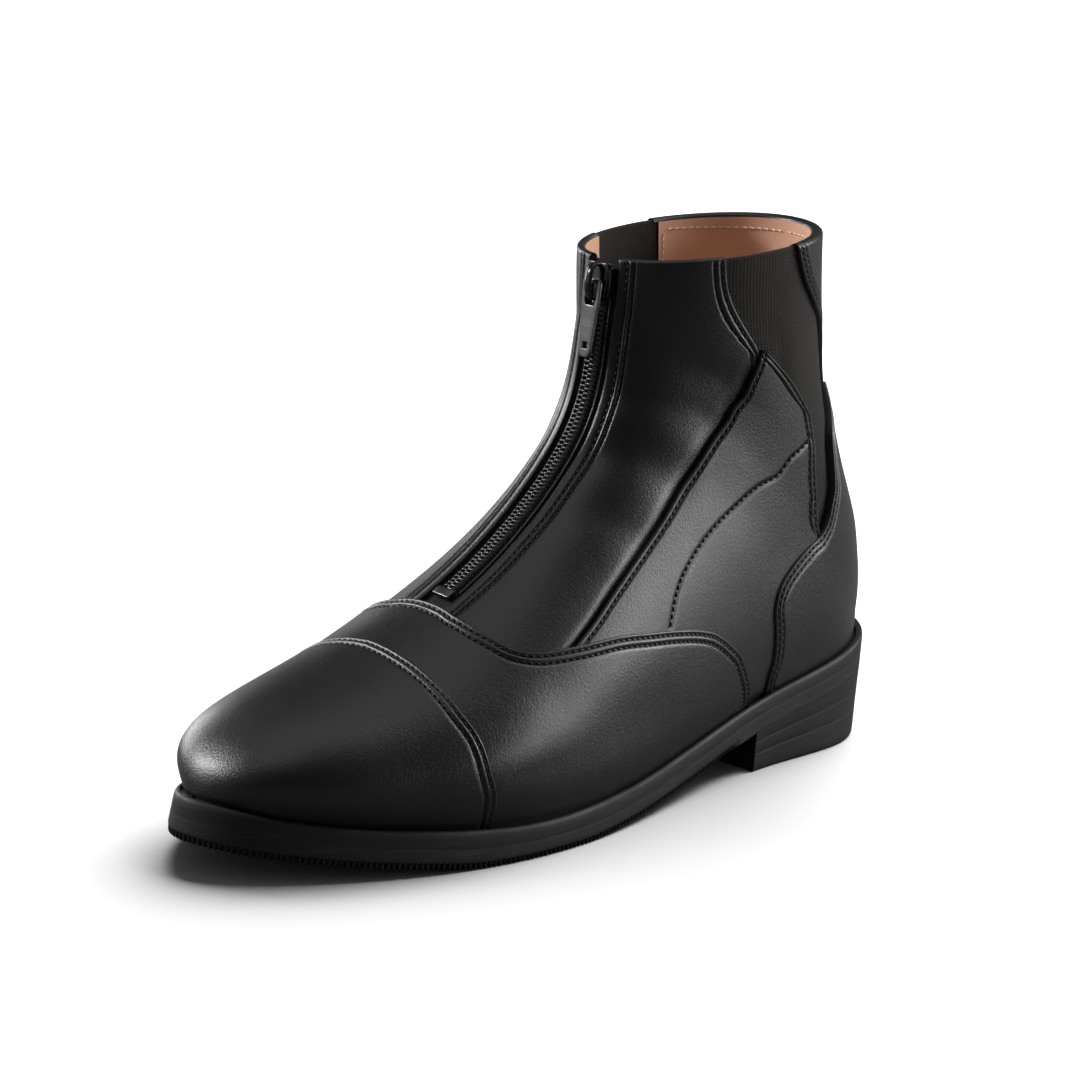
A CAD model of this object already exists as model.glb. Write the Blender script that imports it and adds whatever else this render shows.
"""Looks of a left jodhpur boot: leather panels, elastic gores, zip, stitching, lining and rubber sole.

The panels are dense sheets over the same fan of sections that shapes the solids.
Tables are in millimetres from the heel's back (along), the heel's axis (across) and the floor (up).
"""
from __future__ import annotations

import logging
from dataclasses import dataclass
from enum import Enum
from typing import Callable, Sequence

import bmesh
import bpy
import numpy as np
from mathutils import Matrix, Vector


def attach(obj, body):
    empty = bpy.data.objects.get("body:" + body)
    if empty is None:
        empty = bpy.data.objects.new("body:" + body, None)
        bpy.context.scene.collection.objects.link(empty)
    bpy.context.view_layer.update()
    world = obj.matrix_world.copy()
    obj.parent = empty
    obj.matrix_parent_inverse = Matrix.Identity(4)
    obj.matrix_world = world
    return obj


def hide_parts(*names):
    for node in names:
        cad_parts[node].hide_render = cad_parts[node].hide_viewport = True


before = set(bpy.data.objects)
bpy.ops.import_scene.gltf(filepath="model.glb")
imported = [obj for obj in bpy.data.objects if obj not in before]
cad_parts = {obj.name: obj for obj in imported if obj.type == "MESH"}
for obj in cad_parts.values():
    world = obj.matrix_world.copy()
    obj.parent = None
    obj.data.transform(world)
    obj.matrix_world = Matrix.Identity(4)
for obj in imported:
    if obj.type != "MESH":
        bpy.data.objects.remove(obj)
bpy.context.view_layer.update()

LOG = logging.getLogger("boot")
MM = 0.001
BOOT_BODY = "boot"
PULL_BODY = "zip_pull"

# Short names of types
Array = np.ndarray
Object = bpy.types.Object
Material = bpy.types.Material
Tree = bpy.types.NodeTree
Node = bpy.types.Node
Socket = bpy.types.NodeSocket
Pair = tuple[float, float]
Triple = tuple[float, float, float]
Colour = Triple
Sheet = tuple[Array, Array]
Piece = tuple[Object, tuple[str, ...], str]
Curve = Callable[[Array], Array]

# Outline of the sole seen from above: along, lateral, medial
PLAN = [
    (7.5, 17.5, 17.5), (26.0, 28.5, 28.5), (62.0, 31.0, 29.5), (110.0, 39.5, 27.0), (155.0, 48.5, 35.0),
    (192.0, 48.5, 43.5), (225.0, 39.5, 40.0), (251.0, 26.0, 29.0), (266.5, 12.5, 14.5),
]
# Height of the sole's rim: along, up
RIM = [
    (0.0, 35.6), (28.0, 30.5), (70.0, 23.0), (103.0, 17.2), (141.0, 12.2),
    (178.0, 10.3), (225.0, 13.6), (253.0, 17.8), (272.0, 22.5),
]
# Height of the sole's underside: along, up
UNDER = [
    (0.0, 25.5), (28.0, 20.6), (71.0, 13.1), (103.0, 6.6), (141.0, 1.6),
    (162.0, 0.0), (198.0, 0.0), (225.0, 2.8), (253.0, 6.8), (272.0, 10.3),
]
# Sections of the upper, toe to collar:
# top_at, top_up, low_at, low_up, ridge, lateral, medial, widest, crown, tuck
SECTIONS = [
    (262.5, 30.5, 262.5, None, -3.0, 11.8, 13.2, 0.42, 2.30, 2.20),
    (253.0, 38.0, 253.5, None, -3.0, 21.6, 23.5, 0.42, 2.25, 2.20),
    (238.0, 43.5, 239.0, None, -3.0, 31.5, 31.5, 0.40, 2.12, 2.20),
    (219.0, 48.6, 220.0, None, -2.8, 39.0, 36.8, 0.38, 2.08, 2.20),
    (198.6, 55.8, 197.0, None, -2.0, 45.5, 39.5, 0.36, 2.08, 2.20),
    (178.3, 66.6, 171.0, None, 0.0, 46.5, 39.5, 0.34, 2.12, 2.20),
    (161.8, 77.2, 145.0, None, 1.0, 44.8, 37.0, 0.33, 2.18, 2.20),
    (146.8, 88.8, 118.0, None, 1.0, 41.5, 34.8, 0.34, 2.18, 2.20),
    (134.0, 100.8, 90.0, None, 0.5, 37.5, 33.6, 0.36, 2.18, 2.20),
    (125.5, 112.0, 60.0, None, 0.3, 34.0, 33.2, 0.38, 2.20, 2.20),
    (120.8, 122.5, 32.0, None, 0.0, 32.0, 32.6, 0.42, 2.20, 2.15),
    (118.8, 132.5, 12.0, None, 0.0, 30.8, 31.6, 0.46, 2.20, 2.10),
    (117.9, 140.5, None, None, 0.0, 30.3, 31.0, 0.48, 2.20, 2.05),
    (117.2, 146.0, 5.0, 57.0, 0.0, 30.3, 30.5, 0.49, 2.15, 2.00),
    (116.7, 150.5, 17.0, 87.0, 0.0, 30.5, 30.3, 0.50, 2.12, 2.00),
    (116.3, 154.5, 26.5, 118.0, 0.0, 31.0, 30.5, 0.50, 2.10, 2.00),
    (116.0, 158.0, 31.0, 145.0, 0.0, 31.5, 30.8, 0.50, 2.10, 2.00),
    (115.8, 161.5, 32.8, 167.5, 0.0, 32.0, 31.0, 0.50, 2.10, 2.00),
]
TIP_ROW = (None, None, None, None, None, None, None, 0.40, 2.30, 2.20)
HEEL_ROW = 13
COLLAR_ROW = 18.0
# Seams of one side: station of the section fan, share of the way down from the ridge
DIAGONAL = [
    (6.6, 0.490), (7.22, 0.447), (8.0, 0.395), (9.24, 0.343), (10.54, 0.306), (12.0, 0.295), (13.4, 0.306),
    (14.6, 0.366), (15.3, 0.415), (15.76, 0.445),
]
SIDE_REAR = [
    (6.6, 0.540), (7.0, 0.540), (7.51, 0.560), (8.16, 0.610), (8.70, 0.660), (9.04, 0.700),
    (9.28, 0.760), (9.45, 0.850), (9.55, 0.960), (9.62, 1.0), (9.95, 1.0),
    (10.11, 0.980), (10.47, 0.900), (11.13, 0.800), (11.75, 0.745), (12.31, 0.700), (12.70, 0.664),
    (13.08, 0.631), (13.44, 0.611), (14.06, 0.598), (14.78, 0.622), (15.08, 0.626),
    (15.36, 0.580), (15.55, 0.525), (15.76, 0.450),
]
COUNTER_FRONT = [
    (9.82, 1.0), (9.90, 0.930), (10.08, 0.868), (10.26, 0.800), (10.44, 0.738), (10.68, 0.698),
    (11.02, 0.671), (11.58, 0.652), (12.30, 0.641), (12.80, 0.640), (13.58, 0.652), (14.14, 0.676),
    (14.74, 0.714), (15.14, 0.752), (15.50, 0.812), (15.90, 0.880),
]
TAB_FRONT = [
    (15.60, 0.885), (15.74, 0.878), (16.1, 0.862), (16.45, 0.820), (16.70, 0.767), (16.90, 0.705),
    (17.32, 0.632), (17.72, 0.600), (18.0, 0.585),
]
QUARTER_REAR = [
    (5.4, 0.53), (6.6, 0.53), (7.22, 0.490), (8.0, 0.440), (9.24, 0.390), (10.54, 0.353), (12.0, 0.342),
    (13.4, 0.353), (14.6, 0.410), (15.3, 0.444), (15.55, 0.443), (15.75, 0.428), (15.95, 0.406),
    (16.2, 0.382), (16.5, 0.363), (16.85, 0.350), (17.3, 0.342), (18.0, 0.337),
]
# Decorative stitching on the side panel: station, share down
SIDE_STITCH = [
    (8.54, 0.583), (8.86, 0.523), (9.38, 0.472), (10.06, 0.443), (10.96, 0.437), (12.26, 0.446),
    (13.2, 0.468), (13.88, 0.500), (14.64, 0.592),
]
# Seams of one side: share of the way down from the ridge, station of the section fan
CAP_EDGE = [
    (0.0, 4.87), (0.20, 4.83), (0.36, 4.81), (0.52, 4.80), (0.64, 4.86), (0.75, 4.91), (0.86, 5.00),
    (1.0, 5.03),
]
VAMP_EDGE = [
    (0.0, 5.80), (0.08, 5.79), (0.16, 5.76), (0.24, 5.77), (0.32, 5.82), (0.38, 5.90), (0.416, 6.03),
    (0.440, 6.22), (0.456, 6.45), (0.478, 6.86), (0.508, 7.51), (0.558, 8.16),
    (0.605, 8.70), (0.642, 9.04), (0.68, 9.28), (0.732, 9.45), (0.80, 9.57),
    (0.87, 9.58), (0.94, 9.58), (1.0, 9.58),
]
VAMP_CORNER = 0.416
GORE_EDGE = [
    (0.28, 15.6), (0.36, 15.6), (0.440, 15.45), (0.515, 15.25), (0.56, 13.5), (0.60, 12.0), (1.0, 12.0),
]
# Sides of the sole from the bottom up: share of the side's height, inset
SOLE_SIDE = [
    (0.00, 0.75), (0.03, 0.40), (0.17, 0.20), (0.20, 0.02), (0.30, 0.0), (0.50, 0.0), (0.525, 0.03),
    (0.545, 0.06), (0.565, 0.03), (0.59, 0.0), (0.75, 0.0), (0.88, 0.02), (0.945, 0.18), (0.985, 0.50),
    (1.00, 0.85),
]
# Sides of the heel from the bottom up: share of the side's height, inset
HEEL_SIDE = [
    (0.00, 1.6), (0.02, 1.15), (0.05, 0.95), (0.10, 0.85), (0.25, 0.72), (0.40, 0.62), (0.42, 0.62),
    (0.435, 0.68), (0.45, 0.66), (0.465, 0.58), (0.58, 0.46), (0.70, 0.34), (0.72, 0.34), (0.735, 0.40),
    (0.75, 0.38), (0.765, 0.30), (0.90, 0.12), (1.00, 0.0),
]
# Lining of one side: share down at its front and rear, station of its top, columns
LINING = [(0.0, 0.345, 18.0, 40), (0.345, 0.60, 15.55, 40), (0.60, 1.0, 18.0, 50)]
# Profile of a coil turn: height, share of the half width, half thickness
COIL_TURN = [
    (-0.5, 0.84, 0.32), (0.20, 0.76, 0.42), (0.50, 0.52, 0.44), (0.56, 0.22, 0.46), (0.46, -0.04, 0.58),
    (0.10, -0.14, 0.38),
]
# Slider plate: along, across
SHIELD = [
    (-6.0, -2.2), (-6.0, 2.2), (-4.5, 3.9), (0.5, 4.4), (4.0, 4.8), (6.0, 4.2), (6.0, 1.2), (4.6, 0.0),
    (6.0, -1.2), (6.0, -4.2), (4.0, -4.8), (0.5, -4.4), (-4.5, -3.9),
]
# Middle line of the bail: along, out
BAIL = [
    (-5.4, 2.2), (-5.2, 3.6), (-4.3, 4.9), (-2.4, 5.5), (0.0, 5.65), (2.4, 5.5), (4.3, 4.9), (5.2, 3.6),
    (5.4, 2.2),
]
# Pull tab: along from the bar, half width, half width of the opening, whether it is closed below this line
PULL_TAB = [
    (0.75, 2.9, 2.0, True), (0.30, 3.6, 2.05, True), (-0.60, 3.75, 2.1, False), (-3.0, 3.72, 2.1, False),
    (-6.2, 3.62, 2.1, False), (-7.2, 3.58, 1.6, True), (-8.0, 3.45, 1.0, True), (-9.2, 3.30, 1.0, True),
    (-17.6, 2.70, 1.0, True), (-18.4, 2.66, 1.0, False), (-20.4, 2.55, 1.0, True), (-21.4, 2.45, 1.0, True),
    (-22.4, 2.05, 0.8, True), (-23.0, 1.4, 0.6, True),
]
# Corners and faces of a box
BOX_CORNERS = np.array([(a, b, c) for a in (-1, 1) for b in (-1, 1) for c in (-1, 1)])
BOX_FACES = [[0, 1, 3, 2], [4, 6, 7, 5], [0, 4, 5, 1], [2, 3, 7, 6], [0, 2, 6, 4], [1, 5, 7, 3]]
# Angles above which an edge stays sharp: never, a sheet, a sole, a small solid
ALL_SMOOTH = 3.2
SHEET_SHARP = 1.2
SOLE_SHARP = 0.7
SOLID_SHARP = 0.6
# Span of an effect's gloss that runs through the roughness of a finish
GLOSS_SPAN = (0.3, 0.75)
# Points along the line of a crease
CREASE_POINTS = 24


class Side(Enum):
    """Outer and inner side of the boot."""

    LATERAL = 1
    MEDIAL = -1


class Edge(Enum):
    """How the edge of a panel is finished."""

    CUT = "cut"
    FOLDED = "folded"
    HIDDEN = "hidden"
    FULL = "full"


# Distance in from an edge, share of the panel's height there
EDGE_PROFILE = {
    Edge.CUT: [(0.0, -0.3), (0.0, 0.45), (0.09, 0.78), (0.26, 0.94), (0.55, 1.0)],
    Edge.FOLDED: [(0.0, -2.0), (0.0, 0.2), (0.2, 0.7), (0.55, 0.95), (1.0, 1.0)],
    Edge.HIDDEN: [(0.0, 0.15), (2.5, 0.4), (5.0, 0.85), (7.0, 1.0)],
    Edge.FULL: [(0.0, 1.0), (1.5, 1.0), (4.0, 1.0)],
}
GROOVE_STEPS = (-0.75, -0.4, -0.2, 0.0, 0.2, 0.4, 0.75)
GROOVE_WIDE = 0.42
GROOVE_DEEP = 0.62
PUFF = 0.16
PUFF_WIDE = 0.7


def natural_curve(xs: Sequence[float], ys: Sequence[float]) -> Curve:
    """Cubic curve with no bend at its ends.

    Args:
        xs: Places along the curve, rising.
        ys: Values at those places.

    Returns:
        A function from a place to its value.
    """
    knots = np.asarray(xs, float)
    values = np.asarray(ys, float)
    count = len(knots)
    step = np.diff(knots)
    matrix = np.eye(count)
    right = np.zeros(count)
    for i in range(1, count - 1):
        matrix[i, i - 1:i + 2] = step[i - 1], 2 * (step[i - 1] + step[i]), step[i]
        right[i] = 6 * ((values[i + 1] - values[i]) / step[i] - (values[i] - values[i - 1]) / step[i - 1])
    bend = np.linalg.solve(matrix, right)

    def curve(x: Array) -> Array:
        """Reads the curve.

        Args:
            x: Places to read at.

        Returns:
            The values there.
        """
        k = np.clip(np.searchsorted(knots, x, side="right") - 1, 0, count - 2)
        a = (knots[k + 1] - x) / step[k]
        b = 1 - a
        cubic = (a ** 3 - a) * bend[k] + (b ** 3 - b) * bend[k + 1]
        return a * values[k] + b * values[k + 1] + cubic * step[k] ** 2 / 6
    return curve


def level_curve(rows: Sequence[Pair]) -> Curve:
    """Cubic curve that stays flat between equal rows and never overshoots.

    Args:
        rows: Pairs of place and value, rising in place.

    Returns:
        A function from a place to its value.
    """
    xs = np.array([row[0] for row in rows], float)
    ys = np.array([row[1] for row in rows], float)
    step = np.diff(xs)
    rise = np.diff(ys) / step
    slope = np.zeros(len(xs))
    slope[0], slope[-1] = rise[0], rise[-1]
    for i in range(1, len(xs) - 1):
        if rise[i - 1] * rise[i] > 0:
            w0 = 2 * step[i] + step[i - 1]
            w1 = step[i] + 2 * step[i - 1]
            slope[i] = (w0 + w1) / (w0 / rise[i - 1] + w1 / rise[i])

    def curve(x: Array) -> Array:
        """Reads the curve.

        Args:
            x: Places to read at.

        Returns:
            The values there.
        """
        k = np.clip(np.searchsorted(xs, x, side="right") - 1, 0, len(xs) - 2)
        t = (x - xs[k]) / step[k]
        near = (1 + 2 * t) * (1 - t) ** 2 * ys[k] + t ** 2 * (3 - 2 * t) * ys[k + 1]
        lean = t * (1 - t) ** 2 * slope[k] - t ** 2 * (1 - t) * slope[k + 1]
        return near + lean * step[k]
    return curve


def closed_curve(points: Sequence[Pair], count: int) -> Array:
    """Closed cubic curve through points of the plan.

    Args:
        points: Points in order round the plan.
        count: Number of points to return.

    Returns:
        Points of the curve, one row each.
    """
    knots_at = np.asarray(points, float)
    size = len(knots_at)
    step = np.sqrt(np.linalg.norm(np.roll(knots_at, -1, 0) - knots_at, axis=1))
    matrix = np.zeros((size, size))
    right = np.zeros((size, 2))
    for i in range(size):
        h0, h1 = step[i - 1], step[i]
        after = (i + 1) % size
        matrix[i, i - 1] += h0
        matrix[i, i] += 2 * (h0 + h1)
        matrix[i, after] += h1
        right[i] = 6 * ((knots_at[after] - knots_at[i]) / h1 - (knots_at[i] - knots_at[i - 1]) / h0)
    bend = np.linalg.solve(matrix, right)
    knots = np.concatenate([[0.0], np.cumsum(step)])
    along = np.linspace(0, knots[-1], count, endpoint=False)
    k = np.clip(np.searchsorted(knots, along, side="right") - 1, 0, size - 1)
    h = step[k][:, None]
    a = (knots[k + 1] - along)[:, None] / h
    b = 1 - a
    cubic = (a ** 3 - a) * bend[k] + (b ** 3 - b) * bend[(k + 1) % size]
    return a * knots_at[k] + b * knots_at[(k + 1) % size] + cubic * h * h / 6


def run_of(points: Array) -> Array:
    """Length run at each point of a line, from 0."""
    return np.concatenate([[0.0], np.cumsum(np.linalg.norm(np.diff(points, axis=0), axis=1))])


def smooth_step(x: Array) -> Array:
    """Eased ramp from 0 to 1."""
    t = np.clip(x, 0.0, 1.0)
    return t * t * (3 - 2 * t)


def unit(vectors: Array) -> Array:
    """Vectors in the last axis, brought to length 1."""
    return vectors / np.maximum(np.linalg.norm(vectors, axis=-1, keepdims=True), 1e-9)


def paired(first: Array | float, second: Array | float) -> Array:
    """Two values side by side in a new last axis, spread to one shape."""
    return np.stack(np.broadcast_arrays(first, second), axis=-1)


def read_off(places: Array, run: Array, table: Array) -> Array:
    """Each column of a table, read off at places along its run."""
    return np.stack([np.interp(places, run, table[:, k]) for k in range(table.shape[1])], axis=1)


@dataclass
class SolePlan:
    """Outline and heights of the sole, in millimetres from the heel's back."""

    length: float = 272.0
    toe_across: float = -3.0
    feather_inset: float = 4.2
    lip_height: float = 1.0
    spur_flare: float = 1.2
    spur_long: float = 26.0
    points: int = 2400

    def __post_init__(self) -> None:
        """Works out the outline, its inward directions and the boot's origin."""
        self.rim = level_curve(RIM)
        self.under = level_curve(UNDER)
        medial = [(x, -m) for x, _, m in PLAN]
        lateral = [(x, y) for x, y, _ in reversed(PLAN)]
        ring = [(0.0, 0.0)] + medial + [(self.length, self.toe_across)] + lateral
        dense = closed_curve(ring, 4 * self.points)
        closed = np.vstack([dense, dense[:1]])
        run = run_of(closed)
        self.line = read_off(np.linspace(0, run[-1], self.points, endpoint=False), run, closed)
        self.perimeter = float(run[-1])
        tangent = unit(np.roll(self.line, -1, 0) - np.roll(self.line, 1, 0))
        self.inward = np.stack([-tangent[:, 1], tangent[:, 0]], axis=1)
        low = dense.min(0) - np.array([self.spur_flare, 0.0])
        high = dense.max(0)
        self.origin = np.array([(low[0] + high[0]) / 2, (low[1] + high[1]) / 2, 0.0])

    def seat(self, x: Array) -> Array:
        """Height of the seat that the upper stands on."""
        return self.rim(x) - self.lip_height

    def inset(self, distance: float) -> Array:
        """The outline moved inward by a distance."""
        return self.line + self.inward * distance

    def edges(self, line: Array) -> tuple[Array, Array]:
        """Splits a closed line into its two sides.

        Args:
            line: Points round the plan, with any values after the first two columns.

        Returns:
            The medial and the lateral edge, each from the heel to the toe.
        """
        turned = np.roll(line, -int(line[:, 0].argmin()), 0)
        tip = int(turned[:, 0].argmax())
        return turned[:tip + 1], np.vstack([turned[tip:], turned[:1]])[::-1]

    def spur(self, x: Array) -> Array:
        """Share of the spur rest's flare at a place along the sole."""
        return smooth_step(1 - x / self.spur_long)


@dataclass
class Last:
    """The boot's outer surface as a table over station and share down from the ridge."""

    plan: SolePlan
    foot_gap: float = 0.5
    tuck_least: float = np.radians(60.0)
    arc_points: int = 90
    station_step: float = 0.02
    station_top: float = 18.4
    downs: int = 240
    slope_step: float = 0.4
    low_from: float = 0.62
    ease: float = 0.7
    ease_every: int = 12
    wide_step: int = 16
    soft_reach: float = 0.9
    soft_span: float = 1.3
    soft_bell: float = 2.6
    soft_fade: float = 0.5
    soft_foot: float = 0.97
    soft_foot_fade: float = 0.12
    tuck_high: float = 15.0
    tuck_toe: float = 2.7
    tuck_rear: float = 0.7
    tuck_from: float = 130.0
    tuck_long: float = 110.0
    tuck_curl: float = 1.5
    level_least: float = 0.3
    probe: Pair = (0.12, 0.006)
    tip_rows: int = 4
    tip_reach: float = 1.0
    tip_way: Triple = (0.94, 0.0, 0.34)

    def __post_init__(self) -> None:
        """Fills the table of points, normals and section lengths."""
        feather = self.plan.inset(self.plan.feather_inset)
        self.medial, self.lateral = self.plan.edges(feather)
        self.heel_at = float(feather[:, 0].min())
        self.toe_at = float(feather[:, 0].max())
        self.toe_across = float(feather[feather[:, 0].argmax(), 1])
        self.columns = self._columns()
        stations = np.arange(0.0, self.station_top + self.station_step / 2, self.station_step)
        self.stations = stations
        shares = np.linspace(0, 1, self.downs + 1)
        low_part = smooth_step((shares - self.low_from) / (1 - self.low_from))
        self.points = np.zeros((len(stations), 2 * self.downs + 1, 3))
        self.half = {}
        for side in Side:
            lines = [self._half_section(float(station), side) for station in stations]
            runs = [run_of(line) for line in lines]
            full = np.array([run[-1] for run in runs])
            self.half[side] = self._eased(full)
            for i, (line, run) in enumerate(zip(lines, runs)):
                at = shares * self.half[side][i] + low_part * (full[i] - self.half[side][i])
                row = read_off(at, run, line)
                if side is Side.LATERAL:
                    self.points[i, self.downs:] = row
                else:
                    self.points[i, :self.downs + 1] = row[::-1]
        self._soften()
        self.normals = self._normals()
        self._tuck_in()
        self.normals = self._normals()

    def _soften(self) -> None:
        """Rounds the turn of the fan at the heel, so that seams run on smoothly across it."""
        reach = int(self.soft_reach / self.station_step)
        low = int((HEEL_ROW - self.soft_span) / self.station_step)
        high = int((HEEL_ROW + self.soft_span) / self.station_step)
        steps = np.arange(-reach, reach + 1)
        weights = np.exp(-0.5 * (steps / (reach / self.soft_bell)) ** 2)
        weights /= weights.sum()
        soft = sum(w * self.points[low + k:high + k] for w, k in zip(weights, steps))
        window = smooth_step((self.soft_span - np.abs(self.stations[low:high] - HEEL_ROW)) / self.soft_fade)
        shares = np.abs(np.linspace(-1, 1, 2 * self.downs + 1))
        above = smooth_step((self.soft_foot - shares) / self.soft_foot_fade)
        blend = window[:, None, None] * above[None, :, None]
        self.points[low:high] = self.points[low:high] * (1 - blend) + soft * blend

    def _tuck_in(self) -> None:
        """Draws the lower edge in over the seat, so that the rim shows as a ledge."""
        x = np.clip(self.points[..., 0], 0, self.plan.length)
        above = self.points[..., 2] - self.plan.seat(x)
        low = smooth_step(1 - above / self.tuck_high) ** self.tuck_curl
        fore = smooth_step((x - self.tuck_from) / self.tuck_long)
        amount = self.tuck_rear + (self.tuck_toe - self.tuck_rear) * fore
        way = self.normals * np.array([1.0, 1.0, 0.0])
        way /= np.maximum(np.linalg.norm(way, axis=2, keepdims=True), self.level_least)
        self.points = self.points - way * (low * amount)[..., None]

    def _eased(self, lengths: Array) -> Array:
        """Takes the sharp turn out of the section lengths where the sections leave the sole.

        Args:
            lengths: Length of half a section at each station.

        Returns:
            The eased lengths.
        """
        keep = (self.stations < HEEL_ROW - self.ease) | (self.stations > HEEL_ROW + self.ease)
        knots = self.stations[keep][::self.ease_every]
        eased = natural_curve(knots, lengths[keep][::self.ease_every])(self.stations)
        near = np.abs(self.stations - HEEL_ROW) < 2 * self.ease
        return np.where(near, eased, lengths)

    def _columns(self) -> list[Curve]:
        """Fills the gaps of the section table and runs a curve along each column.

        Returns:
            One curve for each column, by station.
        """
        rows = [list(TIP_ROW)] + [list(row) for row in SECTIONS]
        rows[0][0] = rows[0][2] = self.toe_at
        rows[0][1] = float(self.plan.seat(self.toe_at)) + self.foot_gap
        rows[0][4] = rows[0][5] = self.toe_across
        rows[0][6] = -self.toe_across
        rows[HEEL_ROW][2] = self.heel_at
        for row in rows:
            if row[3] is None:
                row[3] = float(self.plan.seat(row[2])) + self.foot_gap
        before = list(rows[1])
        for column in (1, 5, 6):
            before[column] = 2 * rows[0][column] - rows[1][column]
        table = np.array([before] + rows, float)
        places = np.arange(-1, len(rows))
        return [natural_curve(places, table[:, c]) for c in range(table.shape[1])]

    def _feather(self, x: float, side: Side) -> float:
        """Where the feather line lies across, at a place along."""
        edge = self.lateral if side is Side.LATERAL else self.medial
        return float(np.interp(x, edge[:, 0], edge[:, 1]))

    def _tuck_end(self, low_at: float, side: Side, lean: float) -> float:
        """Finds where a section's lower arc stops, so that it leaves the sole upright.

        Args:
            low_at: Place along of the section's foot.
            side: Outer or inner side.
            lean: How far the section leans for each step across.

        Returns:
            The angle in radians.
        """
        low = max(low_at - self.slope_step, self.heel_at)
        high = min(low_at + self.slope_step, self.toe_at)
        spread = self._feather(high, side) - self._feather(low, side)
        slope = side.value * spread / max(high - low, 0.01) * lean
        if slope <= 1 + 1 / np.cos(self.tuck_least):
            return self.tuck_least
        return float(np.arccos(1 / (slope - 1)))

    def _half_section(self, station: float, side: Side) -> Array:
        """Points of half a section from the ridge down.

        Args:
            station: Place in the fan of sections.
            side: Outer or inner side.

        Returns:
            Points in millimetres, one row each.
        """
        row = [float(column(station)) for column in self.columns]
        top_at, top_up, low_at, low_up, ridge, lateral, medial, widest, crown, tuck = row
        wide = lateral if side is Side.LATERAL else -medial
        across_low = 0.0
        end = np.pi / 2
        if station < HEEL_ROW:
            low_at = min(max(low_at, self.heel_at), self.toe_at)
            low_up = float(self.plan.seat(low_at)) + self.foot_gap
            across_low = self._feather(low_at, side)
            reach = max(np.hypot(top_at - low_at, top_up - low_up), 0.01)
            spread = max(abs(wide - across_low), 0.01) / (widest * reach)
            end = self._tuck_end(low_at, side, (top_at - low_at) / reach / spread)
        upper_arc = np.linspace(0, np.pi / 2, self.arc_points)
        lower_arc = np.linspace(0, end, self.arc_points)
        top_y = ridge + (wide - ridge) * np.sin(upper_arc) ** (2 / crown)
        top_h = widest + (1 - widest) * np.maximum(np.cos(upper_arc), 0) ** (2 / crown)
        last = max(np.cos(end), 0) ** (2 / tuck)
        fall = (np.maximum(np.cos(lower_arc), 0) ** (2 / tuck) - last) / (1 - last)
        low_y = across_low + (wide - across_low) * fall
        low_h = widest * (1 - (np.sin(lower_arc) / np.sin(end)) ** (2 / tuck))
        y = np.concatenate([top_y, low_y[1:]])
        h = np.concatenate([top_h, low_h[1:]])
        return np.stack([low_at + (top_at - low_at) * h, y, low_up + (top_up - low_up) * h], axis=1)

    def _normals(self) -> Array:
        """Works out the directions that point out of the boot.

        Returns:
            A unit normal for each point of the table.
        """
        along = np.gradient(self.points, axis=0)
        wide = np.zeros_like(along)
        step = self.wide_step
        wide[step:-step] = self.points[2 * step:] - self.points[:-2 * step]
        near = np.exp(-((self.stations - HEEL_ROW) / self.ease) ** 4)[:, None, None]
        along = along * (1 - near) + wide / (2 * step) * near
        across = np.gradient(self.points, axis=1)
        normal = unit(np.cross(across, along))
        normal[:self.tip_rows] = normal[self.tip_rows]
        tip = smooth_step(1 - self.stations / self.tip_reach)[:, None, None]
        normal = unit(normal * (1 - tip) + np.array(self.tip_way) * tip)
        back = self.stations >= HEEL_ROW
        seam = unit((normal[back, 0] + normal[back, -1]) * np.array([1.0, 0.0, 1.0]))
        normal[back, 0] = seam
        normal[back, -1] = seam
        return normal

    def _look_up(self, table: Array, station: Array, down: Array) -> Array:
        """Reads a table between its rows and columns.

        Args:
            table: Values over station and share down.
            station: Stations to read at.
            down: Shares down to read at, negative on the inner side.

        Returns:
            The values, in the last axis.
        """
        i = np.clip(np.asarray(station, float) / self.station_step, 0, len(self.stations) - 1.001)
        j = np.clip((np.asarray(down, float) + 1) * self.downs, 0, 2 * self.downs - 0.001)
        i0 = i.astype(int)
        j0 = j.astype(int)
        a = (i - i0)[..., None]
        b = (j - j0)[..., None]
        near = table[i0, j0] * (1 - b) + table[i0, j0 + 1] * b
        far = table[i0 + 1, j0] * (1 - b) + table[i0 + 1, j0 + 1] * b
        return near * (1 - a) + far * a

    def at(self, uv: Array, height: Array | float = 0.0) -> Array:
        """Points over the surface.

        Args:
            uv: Station and share down, in the last axis.
            height: Millimetres out from the surface.

        Returns:
            Points in millimetres, in the last axis.
        """
        base = self._look_up(self.points, uv[..., 0], uv[..., 1])
        return base + self.normal(uv) * np.asarray(height)[..., None]

    def normal(self, uv: Array) -> Array:
        """Unit normals of the surface at places given as station and share down."""
        return unit(self._look_up(self.normals, uv[..., 0], uv[..., 1]))

    def half_length(self, station: Array, side: Side) -> Array:
        """Length of half a section."""
        return np.interp(station, self.stations, self.half[side])

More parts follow.
